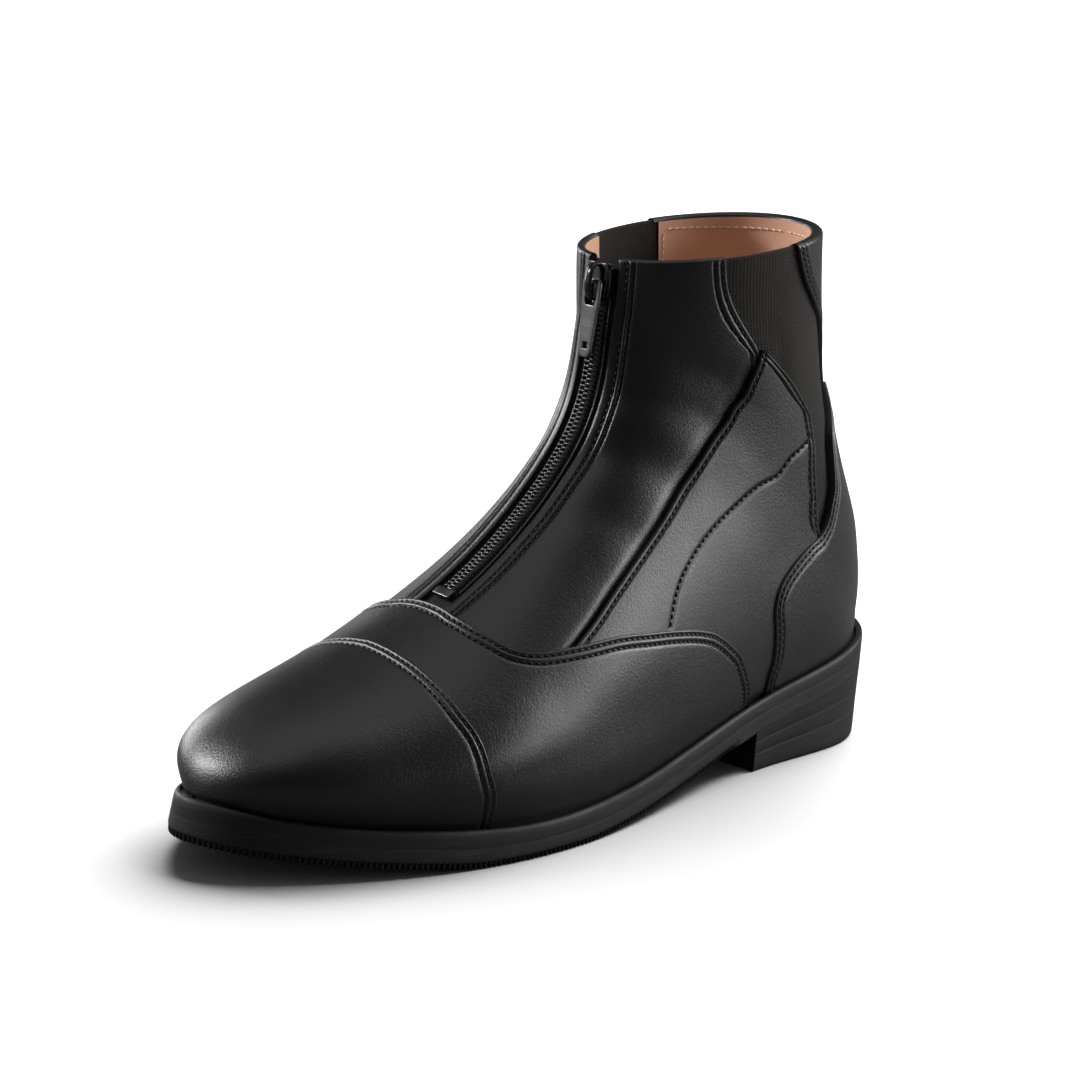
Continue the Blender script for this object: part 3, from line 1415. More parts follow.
@dataclass
class Upper(Assembly):
    """Leather panels, gores and lining of the boot."""

    last: Last
    plan: SolePlan
    wardrobe: Wardrobe
    stitcher: Stitcher
    cap_top: float = 2.65
    vamp_top: float = 2.3
    side_top: float = 1.55
    counter_top: float = 2.5
    tab_top: float = 1.5
    quarter_top: float = 0.35
    gore_top: float = -0.15
    gore_inner: float = -1.75
    lining_at: float = -2.2
    slot_half: float = 6.0
    double: Pair = (1.5, 3.7)
    single: tuple[float, ...] = (1.7,)
    edge_step: float = 0.95
    hem_rise: float = 1.2
    gore_hem_rise: float = 0.8
    cap_front: float = 0.07
    vamp_lap: float = 0.35
    vamp_rear: float = 9.40
    vamp_open: float = 1.05
    vamp_open_fade: float = 0.15
    trough_low: float = 6.6
    trough_high: float = 15.7
    trough_scale: float = 95.0
    trough_deep: float = 0.85
    trough_wide: float = 2.0
    trough_fade: float = 0.8
    zip_rows: Pair = (3.2, 5.3)
    zip_rows_from: float = 5.85
    gore_rows_from: float = 15.90
    collar_row: float = 4.0
    ornament_ends: Pair = (8.54, 14.60)
    ornament_reach: float = 0.03
    ornament_deep: float = 0.42
    ornament_wide: float = 0.75
    ornament_past: float = 0.2
    ornament_sunk: float = 0.30
    side_least: float = 0.004
    side_open: float = 12.5
    side_open_fade: float = 0.4
    side_front_rows: Pair = (7.02, 15.55)
    side_rear_rows: Pair = (12.95, 15.60)
    gore_span: Pair = (0.30, 0.94)
    lining_from: float = 0.25
    lining_open: float = 5.9
    lining_sunk: float = 0.12
    lining_slot: float = 0.9
    lining_scale: Pair = (40.0, 12.0)
    seam_down: float = 0.615
    seam_ends: Pair = (15.4, 17.75)
    top_seam_at: float = 17.83
    top_seam_ends: Pair = (0.63, 0.99)
    seam_points: int = 60
    collar_row_ends: Pair = (1.9, 0.97)
    collar_row_lift: float = 0.1
    back_most: float = 0.998

    def __post_init__(self) -> None:
        """Prepares the seam curves."""
        self.origin = self.plan.origin
        self.cap_edge = level_curve(CAP_EDGE)
        self.vamp_edge = level_curve(VAMP_EDGE)
        self.pieces = []

    def _mirror(self, path: Array, side: Side) -> Array:
        """A path of the outer side turned to the side asked for."""
        return path * np.array([1.0, side.value])

    def _turned(self, sheet: Sheet, side: Side) -> Sheet:
        """A sheet with its columns turned round on the inner side, so that its faces look out."""
        return sheet if side is Side.LATERAL else (sheet[0][:, ::-1], sheet[1][:, ::-1])

    def _hemmed(self, panel: Panel) -> Sheet:
        """Adds the rolled collar edge to the top of a panel.

        Args:
            panel: Panel that ends at the collar.

        Returns:
            Its grid and flat coordinates with the roll.
        """
        grid, flat = panel.sheet()
        share = flat[-1, :, 0] / flat[-1, -1, 0]
        downs = panel.starts[-1, 1] + (panel.ends[-1, 1] - panel.starts[-1, 1]) * share
        uv = paired(COLLAR_ROW, downs)
        hem = collar_hem(self.last, uv, panel.top, self.lining_at, self.hem_rise)
        return np.concatenate([grid, hem]), np.concatenate([flat, np.repeat(flat[-1:], len(hem), 0)])

    def _rows(self, edge: Array, distances: Sequence[float], height: float, sign: int) -> None:
        """Stitches rows at distances in from an edge.

        Args:
            edge: Station and share down along the edge.
            distances: Millimetres in from the edge.
            height: Height of the leather.
            sign: Which side of the edge the leather lies on.
        """
        even = self.last.respaced(edge, 1.5)
        for distance in distances:
            path = self.last.shifted(even, sign * distance)
            for _ in range(4):
                path[1:-1] = (path[:-2] + 2 * path[1:-1] + path[2:]) / 4
            self.stitcher.row(path, height - GROOVE_DEEP)

    def toe_cap(self) -> None:
        """The cap over the toes, with two rows along its rear edge."""
        downs = np.linspace(1, -1, 261)
        starts = paired(self.cap_front, downs)
        ends = paired(self.cap_edge(np.abs(downs)), downs)
        sheet = Panel(
            self.last, starts, ends, self.cap_top, start_edge=Edge.FULL, end_edge=Edge.CUT,
            end_stitches=self.double, cells=70).sheet()
        made = joined("toe_cap_leather", [sheet], self.origin, self.wardrobe.leather)
        self._rows(ends[3:-3], self.double, self.cap_top, 1)
        self.keep(made, ("toe_cap",), "leather")

    def vamp(self) -> None:
        """The vamp from under the cap to its swept top edge, with two rows."""
        downs = np.linspace(0, 1, 900)
        edge = self.last.respaced(paired(self.vamp_edge(downs), downs), self.edge_step)
        run = run_of(self.last.at(edge))
        corner = float(np.interp(VAMP_CORNER, edge[:, 1], run))
        share = run / corner
        front_down = np.minimum(share, 1.0)
        front = self.cap_edge(front_down) - self.vamp_lap
        rear_share = np.clip((run - corner) / (run[-1] - corner), 0, 1)
        low = float(self.cap_edge(1.0)) - self.vamp_lap
        rear = low + (self.vamp_rear - low) * rear_share
        starts = paired(np.where(share <= 1, front, rear), front_down)
        starts_all = np.vstack([self._mirror(starts, Side.MEDIAL)[::-1], starts[1:]])
        ends_all = np.vstack([self._mirror(edge, Side.MEDIAL)[::-1], edge[1:]])
        fade = smooth_step((self.vamp_open - share) / self.vamp_open_fade)
        sheet = Panel(
            self.last, starts_all, ends_all, self.vamp_top, end_edge=Edge.CUT, end_stitches=self.double,
            cells=46, start_fade=np.concatenate([fade[::-1], fade[1:]])).sheet()
        made = joined("vamp_leather", [sheet], self.origin, self.wardrobe.leather)
        self._rows(ends_all[2:-2], self.double, self.vamp_top, -1)
        self.keep(made, ("vamp",), "leather")

    def _side_trough(self, uv: Array, flat: Array) -> Array:
        """Hollows the front quarter along the edge of the side panel.

        Args:
            uv: Station and share down of each point.
            flat: The points, which it doesn't need.

        Returns:
            Change of height at each point.
        """
        seam = level_curve(DIAGONAL)(np.clip(uv[..., 0], self.trough_low, self.trough_high))
        gap = (seam - np.abs(uv[..., 1])) * self.trough_scale
        fade = smooth_step((self.trough_high - uv[..., 0]) / self.trough_fade)
        return -self.trough_deep * np.exp(-(np.maximum(gap, 0) / self.trough_wide) ** 2) * fade

    def quarters(self) -> None:
        """Front quarters on both sides of the zip, with folded edges."""
        rear = level_curve(QUARTER_REAR)
        stations = np.concatenate([np.linspace(5.4, 15.0, 190), np.linspace(15.03, COLLAR_ROW, 110)])
        sheets = []
        for side in Side:
            slot = self.slot_half / self.last.half_length(stations, side)
            starts = paired(stations, slot * side.value)
            ends = paired(stations, rear(stations) * side.value)
            panel = Panel(
                self.last, starts, ends, self.quarter_top, start_edge=Edge.FOLDED, end_edge=Edge.CUT,
                start_stitches=self.zip_rows, end_stitches=self.double, cells=46, extra=self._side_trough)
            sheets.append(self._turned(self._hemmed(panel), side))
            turn = side.value
            self._rows(starts[stations > self.zip_rows_from], self.zip_rows, self.quarter_top, -turn)
            self._rows(ends[stations > self.gore_rows_from], self.double, self.quarter_top, turn)
            front, back = self.collar_row_ends
            downs = np.linspace(starts[-1, 1] * front, ends[-1, 1] * back, self.seam_points)
            lifted = self.quarter_top + self.collar_row_lift
            self._rows(paired(COLLAR_ROW, downs), (self.collar_row,), lifted, -turn)
        made = joined("front_quarters", sheets, self.origin, self.wardrobe.leather)
        self.keep(made, ("upper",), "leather")

    def _ornament_groove(self, uv: Array, flat: Array) -> Array:
        """Presses a line into the side panel under its decorative stitching.

        Args:
            uv: Station and share down of each point.
            flat: The points.

        Returns:
            Change of height at each point.
        """
        knots = natural_curve(*zip(*SIDE_STITCH))
        line = np.linspace(SIDE_STITCH[0][0], SIDE_STITCH[-1][0], 400)
        station = uv[..., 0]
        depth = np.zeros(flat.shape[:-1])
        for side in Side:
            path = self.last.at(self._mirror(paired(line, knots(line)), side))
            away = np.abs(uv[..., 1] * side.value - knots(np.clip(station, line[0], line[-1])))
            near = (away < self.ornament_reach) & (station > line[0] - self.ornament_past)
            near &= station < line[-1] + self.ornament_past
            gap = np.min(np.linalg.norm(flat[near][:, None, :] - path[None, :, :], axis=2), axis=1)
            depth[near] = -self.ornament_deep * np.exp(-(gap / self.ornament_wide) ** 2)
        return depth

    def side_panels(self) -> None:
        """Raised panels on the sides, with a stitched front edge and two rows at the rear."""
        front = level_curve(DIAGONAL)
        rear = level_curve(SIDE_REAR)
        stations = np.concatenate([
            np.linspace(6.6, 9.4, 100), np.linspace(9.42, 10.2, 50), np.linspace(10.23, 15.74, 210)])
        line = np.linspace(*self.ornament_ends, 120)
        ornament = paired(line, natural_curve(*zip(*SIDE_STITCH))(line))
        open_rear = smooth_step((stations - self.side_open) / self.side_open_fade)
        front_line = paired(stations, front(stations))
        rear_at = np.maximum(rear(stations), front(stations) + self.side_least)
        rear_line = paired(stations, rear_at)
        clear, upper = (
            (stations > low) & (stations < high) for low, high in (self.side_front_rows, self.side_rear_rows))
        for side in Side:
            starts = self._mirror(front_line, side)
            ends = self._mirror(rear_line, side)
            sheet = Panel(
                self.last, starts, ends, self.side_top, start_edge=Edge.CUT, end_edge=Edge.CUT,
                start_stitches=self.single, end_stitches=self.double, cells=120,
                extra=self._ornament_groove, end_fade=open_rear).sheet()
            name = f"side_panel_{side.name.lower()}"
            made = joined(name + "_leather", [self._turned(sheet, side)], self.origin, self.wardrobe.leather)
            self._rows(starts[clear], self.single, self.side_top, -side.value)
            self._rows(ends[upper], self.double, self.side_top, side.value)
            self.stitcher.row(self._mirror(ornament, side), self.side_top - self.ornament_sunk)
            self.keep(made, (name,), "leather")

    def back(self) -> None:
        """Heel counter with its back strip, and the tab at the collar."""
        plans = (
            ("heel_counter", COUNTER_FRONT, self.counter_top, False, 240),
            ("back_tab", TAB_FRONT, self.tab_top, True, 90),
        )
        for name, table, top, hemmed, count in plans:
            front = level_curve(table)
            first, knee, final = (table[k][0] for k in (0, 3, -1))
            stations = np.concatenate([np.linspace(first, knee, 140)[:-1], np.linspace(knee, final, count)])
            sheets = []
            edge = paired(stations, np.minimum(front(stations), self.back_most))
            rear = paired(stations, 1.0)
            if not hemmed:
                edge = self.last.respaced(edge, self.edge_step)
                share = run_of(self.last.at(edge))
                rear_run = run_of(self.last.at(rear))
                rear_at = np.interp(share / share[-1] * rear_run[-1], rear_run, stations)
                rear = paired(rear_at, 1.0)
            for side in Side:
                starts = self._mirror(edge, side)
                ends = self._mirror(rear, side)
                panel = Panel(
                    self.last, starts, ends, top, start_edge=Edge.CUT, start_stitches=self.double, cells=40,
                    end_edge=Edge.FULL)
                sheet = self._hemmed(panel) if hemmed else panel.sheet()
                sheets.append(self._turned(sheet, side))
                self._rows(starts[3:-2], self.double, top, -side.value)
            made = joined(name + "_leather", sheets, self.origin, self.wardrobe.leather, weld=True)
            self.keep(made, (name,), "leather")

    def gores(self) -> None:
        """Elastic set between the quarter, side panel and back, with its inner face."""
        edge = level_curve(GORE_EDGE)
        downs = np.linspace(*self.gore_span, 110)
        rows = np.linspace(0, 1, 70)
        for side in Side:
            start = edge(downs)
            stations = start[None, :] + (COLLAR_ROW - start)[None, :] * rows[:, None]
            uv = paired(stations, downs * side.value)
            outer = self.last.at(uv, self.gore_top)
            inner = self.last.at(uv, self.gore_inner)
            hem = collar_hem(self.last, uv[-1], self.gore_top, self.gore_inner, self.gore_hem_rise)
            grid = np.concatenate([outer, hem, inner[::-1][1:]])
            across = run_of(self.last.at(uv[-1]))
            long = run_of(grid[:, len(downs) // 2])
            flat = paired(across[None, :], long[:, None])
            sheet = self._turned((grid, flat), side)
            name = f"gore_{side.name.lower()}"
            made = joined(name + "_elastic", [sheet], self.origin, self.wardrobe.elastic)
            self.keep(made, (name,), "elastic")

    def lining(self) -> None:
        """Tan lining inside, cut away behind the elastic, with a stitched front edge at the back."""
        sheets = []
        height = self.lining_at
        for side in Side:
            slot = self.slot_half * self.lining_slot
            for low, high, top, columns in LINING:
                stations = np.linspace(self.lining_from, top, 170)
                open_from = low
                if low == 0.0:
                    edge = slot / self.last.half_length(stations, side)
                    open_from = np.where(stations > self.lining_open, edge, 0.0)
                share = np.linspace(0, 1, columns)
                begin = np.broadcast_to(np.asarray(open_from, float), stations.shape)
                downs = begin[:, None] + (high - begin)[:, None] * share[None, :]
                uv = paired(stations[:, None], downs * side.value)
                grid = self.last.at(uv, height)
                across = share * self.lining_scale[0]
                flat = paired(across[None, :], (stations * self.lining_scale[1])[:, None])
                sheets.append((grid, flat))
            edge = paired(np.linspace(*self.seam_ends, self.seam_points), self.seam_down * side.value)
            self.stitcher.row(edge, height - self.lining_sunk, Thread.TAN)
            downs = np.linspace(*self.top_seam_ends, self.seam_points)
            top_row = paired(self.top_seam_at, downs * side.value)
            self.stitcher.row(top_row, height - self.lining_sunk, Thread.TAN)
        made = joined("lining_leather", sheets, self.origin, self.wardrobe.lining)
        self.keep(made, (), "insole")

    def build(self) -> None:
        """Builds every piece of the upper."""
        self.toe_cap()
        self.vamp()
        self.quarters()
        self.side_panels()
        self.back()
        self.gores()
        self.lining()


@dataclass
class Sole(Assembly):
    """Rubber outsole, heel and the sock inside."""

    plan: SolePlan
    wardrobe: Wardrobe
    lip_width: float = 1.4
    serration_pitch: float = 1.7
    serration_deep: float = 0.6
    toe_top_in: float = 1.3
    toe_foot_out: float = 0.9
    heel_breast: float = 71.0
    fit_gap: float = 0.08
    roll_long: float = 15.0
    roll_up: float = 2.6
    tread_pitch: float = 2.6
    tread_deep: float = 0.45
    insole_inset: float = 7.6
    insole_thick: float = 3.0
    insole_cup: float = 1.6
    rim_in: float = 9.0
    rim_insets: tuple[float, ...] = (6.5, 4.2, 2.4, 1.5)
    fore_from: float = 78.0
    fore_long: float = 10.0
    toe_from: float = 170.0
    toe_long: float = 90.0
    spur_foot: float = 0.45
    foot_share: float = 0.18
    foot_lift: float = 0.05
    foot_sharp: float = 1.6
    tread_sharp: float = 1.8
    tread_inset: float = 6.0
    tread_end: float = 7.0
    tread_fine: int = 6
    tread_rim: float = 12.0
    breast_past: float = 3.0
    breast_lean: float = 0.25
    roll_curl: int = 6
    heel_columns: int = 150

    def __post_init__(self) -> None:
        """Starts with no pieces."""
        self.pieces = []

    def _ribs(self, phase: Array, sharp: float) -> Array:
        """Rows of ribs from 0 to 1, with flat tops, one for each whole step of the phase."""
        return np.clip(sharp * np.sin(2 * np.pi * phase), -1, 1) * 0.5 + 0.5

    def outsole(self) -> None:
        """Outsole with a bevelled rim, a mould line and a serrated lower edge."""
        plan = self.plan
        x = plan.line[:, 0]
        count = plan.points
        along = np.arange(count) * plan.perimeter / count
        teeth = np.round(plan.perimeter / self.serration_pitch)
        wave = self._ribs(along * teeth / plan.perimeter, self.foot_sharp)
        fore = smooth_step((x - self.fore_from) / self.fore_long)
        toe = smooth_step((x - self.toe_from) / self.toe_long)
        low = plan.under(x)
        high = plan.rim(x)
        rings = []
        for share, inset in SOLE_SIDE:
            flare = plan.spur_flare * plan.spur(x) * (self.spur_foot + (1 - self.spur_foot) * share)
            foot = share < self.foot_share
            notch = self.serration_deep * wave * fore * foot
            lean = toe * (self.toe_top_in * share - self.toe_foot_out * (1 - share))
            move = inset * np.where(foot, fore, 1.0) - flare + notch + lean
            place = plan.line + plan.inward * move[:, None]
            lift = self.serration_deep * wave * fore * (share < self.foot_lift)
            rings.append(np.column_stack([place, low + (high - low) * share + lift]))
        lip = self.lip_width
        full = plan.lip_height
        for inset, drop in ((lip, 0.0), (lip + 0.15, 0.6), (lip + 0.3, full), (self.rim_in, full)):
            place = plan.line + plan.inward * (inset + self.toe_top_in * toe)[:, None]
            rings.append(np.column_stack([place, high - drop]))
        bottom = []
        for inset in self.rim_insets:
            place = plan.inset(inset)
            bottom.append(np.column_stack([place, plan.under(np.clip(place[:, 0], 0, plan.length))]))
        rings = bottom + rings
        points = np.concatenate(rings)
        faces = grid_faces(len(rings), count, closed=True)
        made = add_mesh("outsole_rubber", points, faces[:, ::-1], plan.origin, SOLE_SHARP)
        self.keep(made, ("outsole",), "rubber", self.wardrobe.rubber)
        self._tread()

    def _tread(self) -> None:
        """Fine cross ribs under the forefoot and waist."""
        plan = self.plan
        medial, lateral = plan.edges(plan.inset(self.tread_inset))
        step = self.tread_pitch / self.tread_fine
        stations = np.arange(self.heel_breast - 2, plan.length - self.tread_end, step)
        left = np.interp(stations, lateral[:, 0], lateral[:, 1])
        right = np.interp(stations, medial[:, 0], medial[:, 1])
        share = np.linspace(0, 1, 30)
        wave = self._ribs(stations / self.tread_pitch, self.tread_sharp)
        y = left[:, None] + (right - left)[:, None] * share[None, :]
        rim = smooth_step(np.minimum(share, 1 - share) * self.tread_rim)
        z = plan.under(stations)[:, None] + self.tread_deep * wave[:, None] * rim[None, :]
        grid = np.stack([np.broadcast_to(stations[:, None], y.shape), y, z], axis=2)
        faces = grid_faces(len(stations), len(share))
        made = add_mesh("outsole_tread", grid.reshape(-1, 3), faces, plan.origin, SOLE_SHARP)
        self.keep(made, (), "rubber", self.wardrobe.rubber)

    def heel(self) -> None:
        """Heel block with two rib lines, a straight breast and a flat base."""
        plan = self.plan
        medial, lateral = (self._front_cut(edge) for edge in self._sided())
        share = 1 - np.cos(np.linspace(0, np.pi / 2, self.heel_columns))
        first = float(plan.line[:, 0].min())
        stations = first + (self.heel_breast - first) * share
        outline = []
        for edge in (lateral[::-1], medial):
            keep = np.stack([np.interp(stations, *self._column(edge, k)) for k in range(4)], axis=1)
            outline.append(keep if edge is medial else keep[::-1])
        loop = np.vstack([outline[0], outline[1][1:]])
        rings = []
        for part, inset in HEEL_SIDE:
            flare = self.spur_foot * plan.spur_flare * plan.spur(np.maximum(loop[:, 0], 0.0)) * part
            place = loop[:, :2] + loop[:, 2:] * (inset - flare)[:, None]
            place[:, 0] = np.minimum(place[:, 0], self.heel_breast - self.breast_lean * (1 - part))
            top = plan.under(np.clip(loop[:, 0], 0, plan.length)) - self.fit_gap
            curl = (1 - part) ** self.roll_curl
            rolled = self.roll_up * smooth_step(1 - loop[:, 0] / self.roll_long) * curl
            rings.append(np.column_stack([place, top * part + rolled]))
        columns = len(loop)
        points = np.concatenate(rings)
        faces = [list(f) for f in grid_faces(len(rings), columns)]
        for r in range(len(rings) - 1):
            a = r * columns
            faces.append([a, a + columns - 1, a + 2 * columns - 1, a + columns])
        half = columns // 2
        for base, turned in ((0, False), ((len(rings) - 1) * columns, True)):
            for i in range(half):
                quad = [base + i, base + i + 1, base + columns - 2 - i, base + columns - 1 - i]
                faces.append(quad[::-1] if turned else quad)
        made = add_mesh("heel_rubber", points, faces, plan.origin, SOLID_SHARP)
        face_out(made)
        made.data.shade_smooth()
        made.data.set_sharp_from_angle(angle=SOLID_SHARP)
        self.keep(made, ("heel",), "rubber", self.wardrobe.rubber)

    def _sided(self) -> tuple[Array, Array]:
        """Medial and lateral edges of the outline with their inward directions."""
        return self.plan.edges(np.hstack([self.plan.line, self.plan.inward]))

    def _front_cut(self, edge: Array) -> Array:
        """The part of an edge behind the breast, and a little more."""
        return edge[edge[:, 0] <= self.heel_breast + self.breast_past]

    def _column(self, edge: Array, k: int) -> tuple[Array, Array]:
        """Places along an edge, rising, and one of its values there."""
        order = np.argsort(edge[:, 0])
        return edge[order, 0], edge[order, k]

    def insole(self) -> None:
        """Sock on the insole board, with a soft turned-up edge."""
        plan = self.plan
        medial, lateral = plan.edges(plan.inset(self.insole_inset))
        first = max(medial[0, 0], lateral[0, 0])
        last = min(medial[-1, 0], lateral[-1, 0])
        share = (1 - np.cos(np.linspace(0, np.pi, 160))) / 2
        stations = first + (last - first) * share
        left = np.interp(stations, lateral[:, 0], lateral[:, 1])
        right = np.interp(stations, medial[:, 0], medial[:, 1])
        across = np.linspace(0, 1, 41)
        y = left[:, None] + (right - left)[:, None] * across[None, :]
        cup = self.insole_cup * (2 * across - 1) ** 4
        z = (plan.seat(stations) + self.fit_gap + self.insole_thick)[:, None] + cup[None, :]
        grid = np.stack([np.broadcast_to(stations[:, None], y.shape), y, z], axis=2)
        flat = paired(y, stations[:, None])
        made = joined("insole_sock", [(grid[:, ::-1], flat[:, ::-1])], plan.origin, self.wardrobe.sock)
        self.keep(made, ("insole",), "insole")

    def build(self) -> None:
        """Builds every piece of the sole."""
        self.outsole()
        self.heel()
        self.insole()


@dataclass
class Zip(Assembly):
    """Tape, coil, stop, slider and pull of the front zip."""

    last: Last
    plan: SolePlan
    wardrobe: Wardrobe
    tape_half: float = 6.4
    tape_at: float = -1.45
    chain_half: float = 3.3
    chain_from: float = 6.19
    chain_to: float = 17.35
    tooth_pitch: float = 1.5
    tape_ends: Pair = (5.5, 17.98)
    tape_columns: int = 25
    slider_up: float = 155.0
    pull_end: float = 23.0
    slider_low: float = 0.9
    slider_top: float = 2.4
    flange: Triple = (9.0, 0.9, 2.6)
    flange_out: float = 4.35
    flange_up: float = 0.4
    bail_thick: float = 0.55
    bail_wide: float = 1.45
    bar_out: float = 3.4
    tab_under: float = 0.62
    tab_thick: float = 1.25
    coil_rise: float = 0.75
    coil_flat: float = 0.8
    coil_sides: int = 6
    cord_away: float = 0.55
    cord_at: float = -0.95
    cord_thick: float = 0.42
    stop_at: float = 6.085
    stop_towards: float = 6.3
    stop_half: Triple = (1.6, 3.6, 0.85)
    stop_out: float = 0.15

    def __post_init__(self) -> None:
        """Starts with no pieces and finds the slider's place."""
        self.pieces = []
        stations = np.linspace(11.5, COLLAR_ROW, 200)
        ridge = self.last.at(paired(stations, 0.0))
        where = float(np.interp(self.slider_up, ridge[:, 2], stations))
        low = float(np.interp(self.slider_up - self.pull_end, ridge[:, 2], stations))
        ends = self.last.at(np.array([[where, 0.0], [low, 0.0]]))
        self.middle = ends[0]
        self.up = unit(ends[0] - ends[1])
        self.across = np.array([0.0, 1.0, 0.0])
        self.out = np.cross(self.across, self.up)

    def _placed(self, corners: Array) -> Array:
        """Points given along, across and out of the slider, in the boot's millimetres."""
        return self.middle + corners @ np.stack([self.up, self.across, self.out])

    def tape(self) -> None:
        """Woven tape behind the coil."""
        stations = np.linspace(*self.tape_ends, 220)
        share = np.linspace(1, -1, self.tape_columns)
        rows = []
        for station in stations:
            sides = [self.tape_half / float(self.last.half_length(station, side)) for side in Side]
            downs = np.where(share >= 0, share * sides[0], share * sides[1])
            rows.append(paired(station, downs))
        uv = np.array(rows)
        grid = self.last.at(uv, self.tape_at)
        run = run_of(grid[:, self.tape_columns // 2])
        flat = paired((share * self.tape_half)[None, :], run[:, None])
        made = joined("zip_tape_woven", [(grid, flat)], self.plan.origin, self.wardrobe.tape)
        self.keep(made, ("zip_tape",), "tape")

    def chain(self) -> None:
        """Two rows of coil turns that lock along the middle."""
        stations = np.linspace(self.chain_from, self.chain_to, 900)
        uv = paired(stations, 0.0)
        line = self.last.at(uv)
        out = self.last.normal(uv)
        run = run_of(line)
        count = int(run[-1] / self.tooth_pitch)
        points, faces = [], []
        turns = np.linspace(0, 2 * np.pi, self.coil_sides, endpoint=False)
        for k in range(2 * count):
            at = k / 2 * self.tooth_pitch
            if at > run[-1]:
                continue
            base, after = read_off(np.array([at, at + 0.5]), run, line)
            normal = read_off(np.array([at]), run, out)[0]
            ahead = unit(after - base)
            cross = np.cross(normal, ahead) * (1 if k % 2 else -1)
            first = len(points)
            for lift, reach, girth in COIL_TURN:
                centre = base + cross * (self.chain_half * reach) + normal * (lift * self.coil_rise)
                flat = girth * self.coil_flat
                points += [centre + ahead * girth * np.cos(t) + normal * flat * np.sin(t) for t in turns]
            faces += [list(face) for face in grid_faces(len(COIL_TURN), self.coil_sides, first, closed=True)]
            faces.append(list(range(len(points) - self.coil_sides, len(points))))
        made = add_mesh("zip_coil", np.array(points), faces, self.plan.origin, ALL_SMOOTH)
        face_out(made)
        made.data.shade_smooth()
        self.keep(made, ("zip_chain",), "coil", self.wardrobe.coil)
        for side in Side:
            self._cord(side)

    def _cord(self, side: Side) -> None:
        """Lays the stitched cord along the outer edge of the coil.

        Args:
            side: Side of the boot that it lies on.
        """
        stations = np.linspace(self.chain_from, self.chain_to, 240)
        downs = side.value * (self.chain_half + self.cord_away) / self.last.half_length(stations, side)
        uv = paired(stations, downs)
        line = self.last.at(uv, self.cord_at)
        out = self.last.normal(uv)
        cross = np.cross(out, unit(np.gradient(line, axis=0)))
        turn = np.linspace(0, 2 * np.pi, 7, endpoint=False)[None, :, None]
        round_it = cross[:, None, :] * np.cos(turn) + out[:, None, :] * np.sin(turn)
        ring = line[:, None, :] + self.cord_thick * round_it
        faces = grid_faces(*ring.shape[:2], closed=True)
        name = f"zip_edge_{side.name.lower()}"
        made = add_mesh(name, ring.reshape(-1, 3), faces, self.plan.origin, ALL_SMOOTH)
        self.keep(made, (), "coil", self.wardrobe.coil)

    def _solid(self, name: str, points: Array, faces: Sequence, edge: float) -> Object:
        """Makes a solid with rounded edges.

        Args:
            name: Name of the piece.
            points: Corners in the boot's millimetres.
            faces: Corners of each face.
            edge: Radius of its edges.

        Returns:
            The piece.
        """
        made = add_mesh(name, points, faces, self.plan.origin, 0.5)
        face_out(made)
        self._rounded(made, edge)
        return made

    def _apply(self, made: Object, modifier: str) -> None:
        """Applies a modifier to a piece.

        Args:
            made: The piece.
            modifier: Name of the modifier.
        """
        bpy.context.view_layer.objects.active = made
        made.select_set(True)
        bpy.ops.object.modifier_apply(modifier=modifier)
        made.select_set(False)

    def _rounded(self, made: Object, edge: float) -> None:
        """Rounds every edge of a piece and shades it smooth.

        Args:
            made: The piece.
            edge: Radius of its edges.
        """
        bevel = made.modifiers.new("edges", "BEVEL")
        bevel.width = edge * MM
        bevel.segments = 3
        bevel.limit_method = "ANGLE"
        bevel.angle_limit = 0.5
        self._apply(made, "edges")
        made.data.shade_smooth()
        made.data.set_sharp_from_angle(angle=SOLID_SHARP)

    def _plate(
        self, name: str, outline: Array, low: float, high: float, edge: float,
    ) -> Object:
        """A flat plate with an outline given along and across, between two heights.

        Args:
            name: Name of the piece.
            outline: Points round the plate.
            low: Height of its underside.
            high: Height of its top.
            edge: Radius of its edges.

        Returns:
            The piece.
        """
        count = len(outline)
        corners = np.vstack([np.column_stack([outline, np.full(count, z)]) for z in (low, high)])
        faces = [list(range(count)), list(range(count, 2 * count))]
        for i in range(count):
            j = (i + 1) % count
            faces.append([i, j, j + count, i + count])
        return self._solid(name, self._placed(corners), faces, edge)

    def slider(self) -> None:
        """Slider plates, side flanges and the arched bail."""
        plate = self._plate("zip_slider_plate", np.array(SHIELD), self.slider_low, self.slider_top, 0.4)
        pieces = [plate]
        for side in (1, -1):
            middle = np.array([0.0, side * self.flange_out, self.flange_up])
            corners = self._placed(BOX_CORNERS * np.array(self.flange) / 2 + middle)
            pieces.append(self._solid(f"zip_slider_flange_{side + 1}", corners, BOX_FACES, 0.3))
        arch = np.array(BAIL)
        way = unit(np.gradient(arch, axis=0))
        side_way = np.stack([-way[:, 1], way[:, 0]], axis=1) * self.bail_thick
        turn = np.linspace(0, 2 * np.pi, 12, endpoint=False)
        ring = []
        for (along, out), (sa, so) in zip(arch, side_way):
            ring += [(along + sa * np.sin(t), self.bail_wide * np.cos(t), out + so * np.sin(t)) for t in turn]
        faces = grid_faces(len(arch), len(turn), closed=True)
        bail = add_mesh("zip_slider_bail", self._placed(np.array(ring)), faces, self.plan.origin, ALL_SMOOTH)
        face_out(bail)
        bail.data.shade_smooth()
        pieces.append(bail)
        for piece in pieces:
            nodes = ("zip_slider",) if piece is plate else ()
            self.keep(piece, nodes, "metal", self.wardrobe.dark_metal)

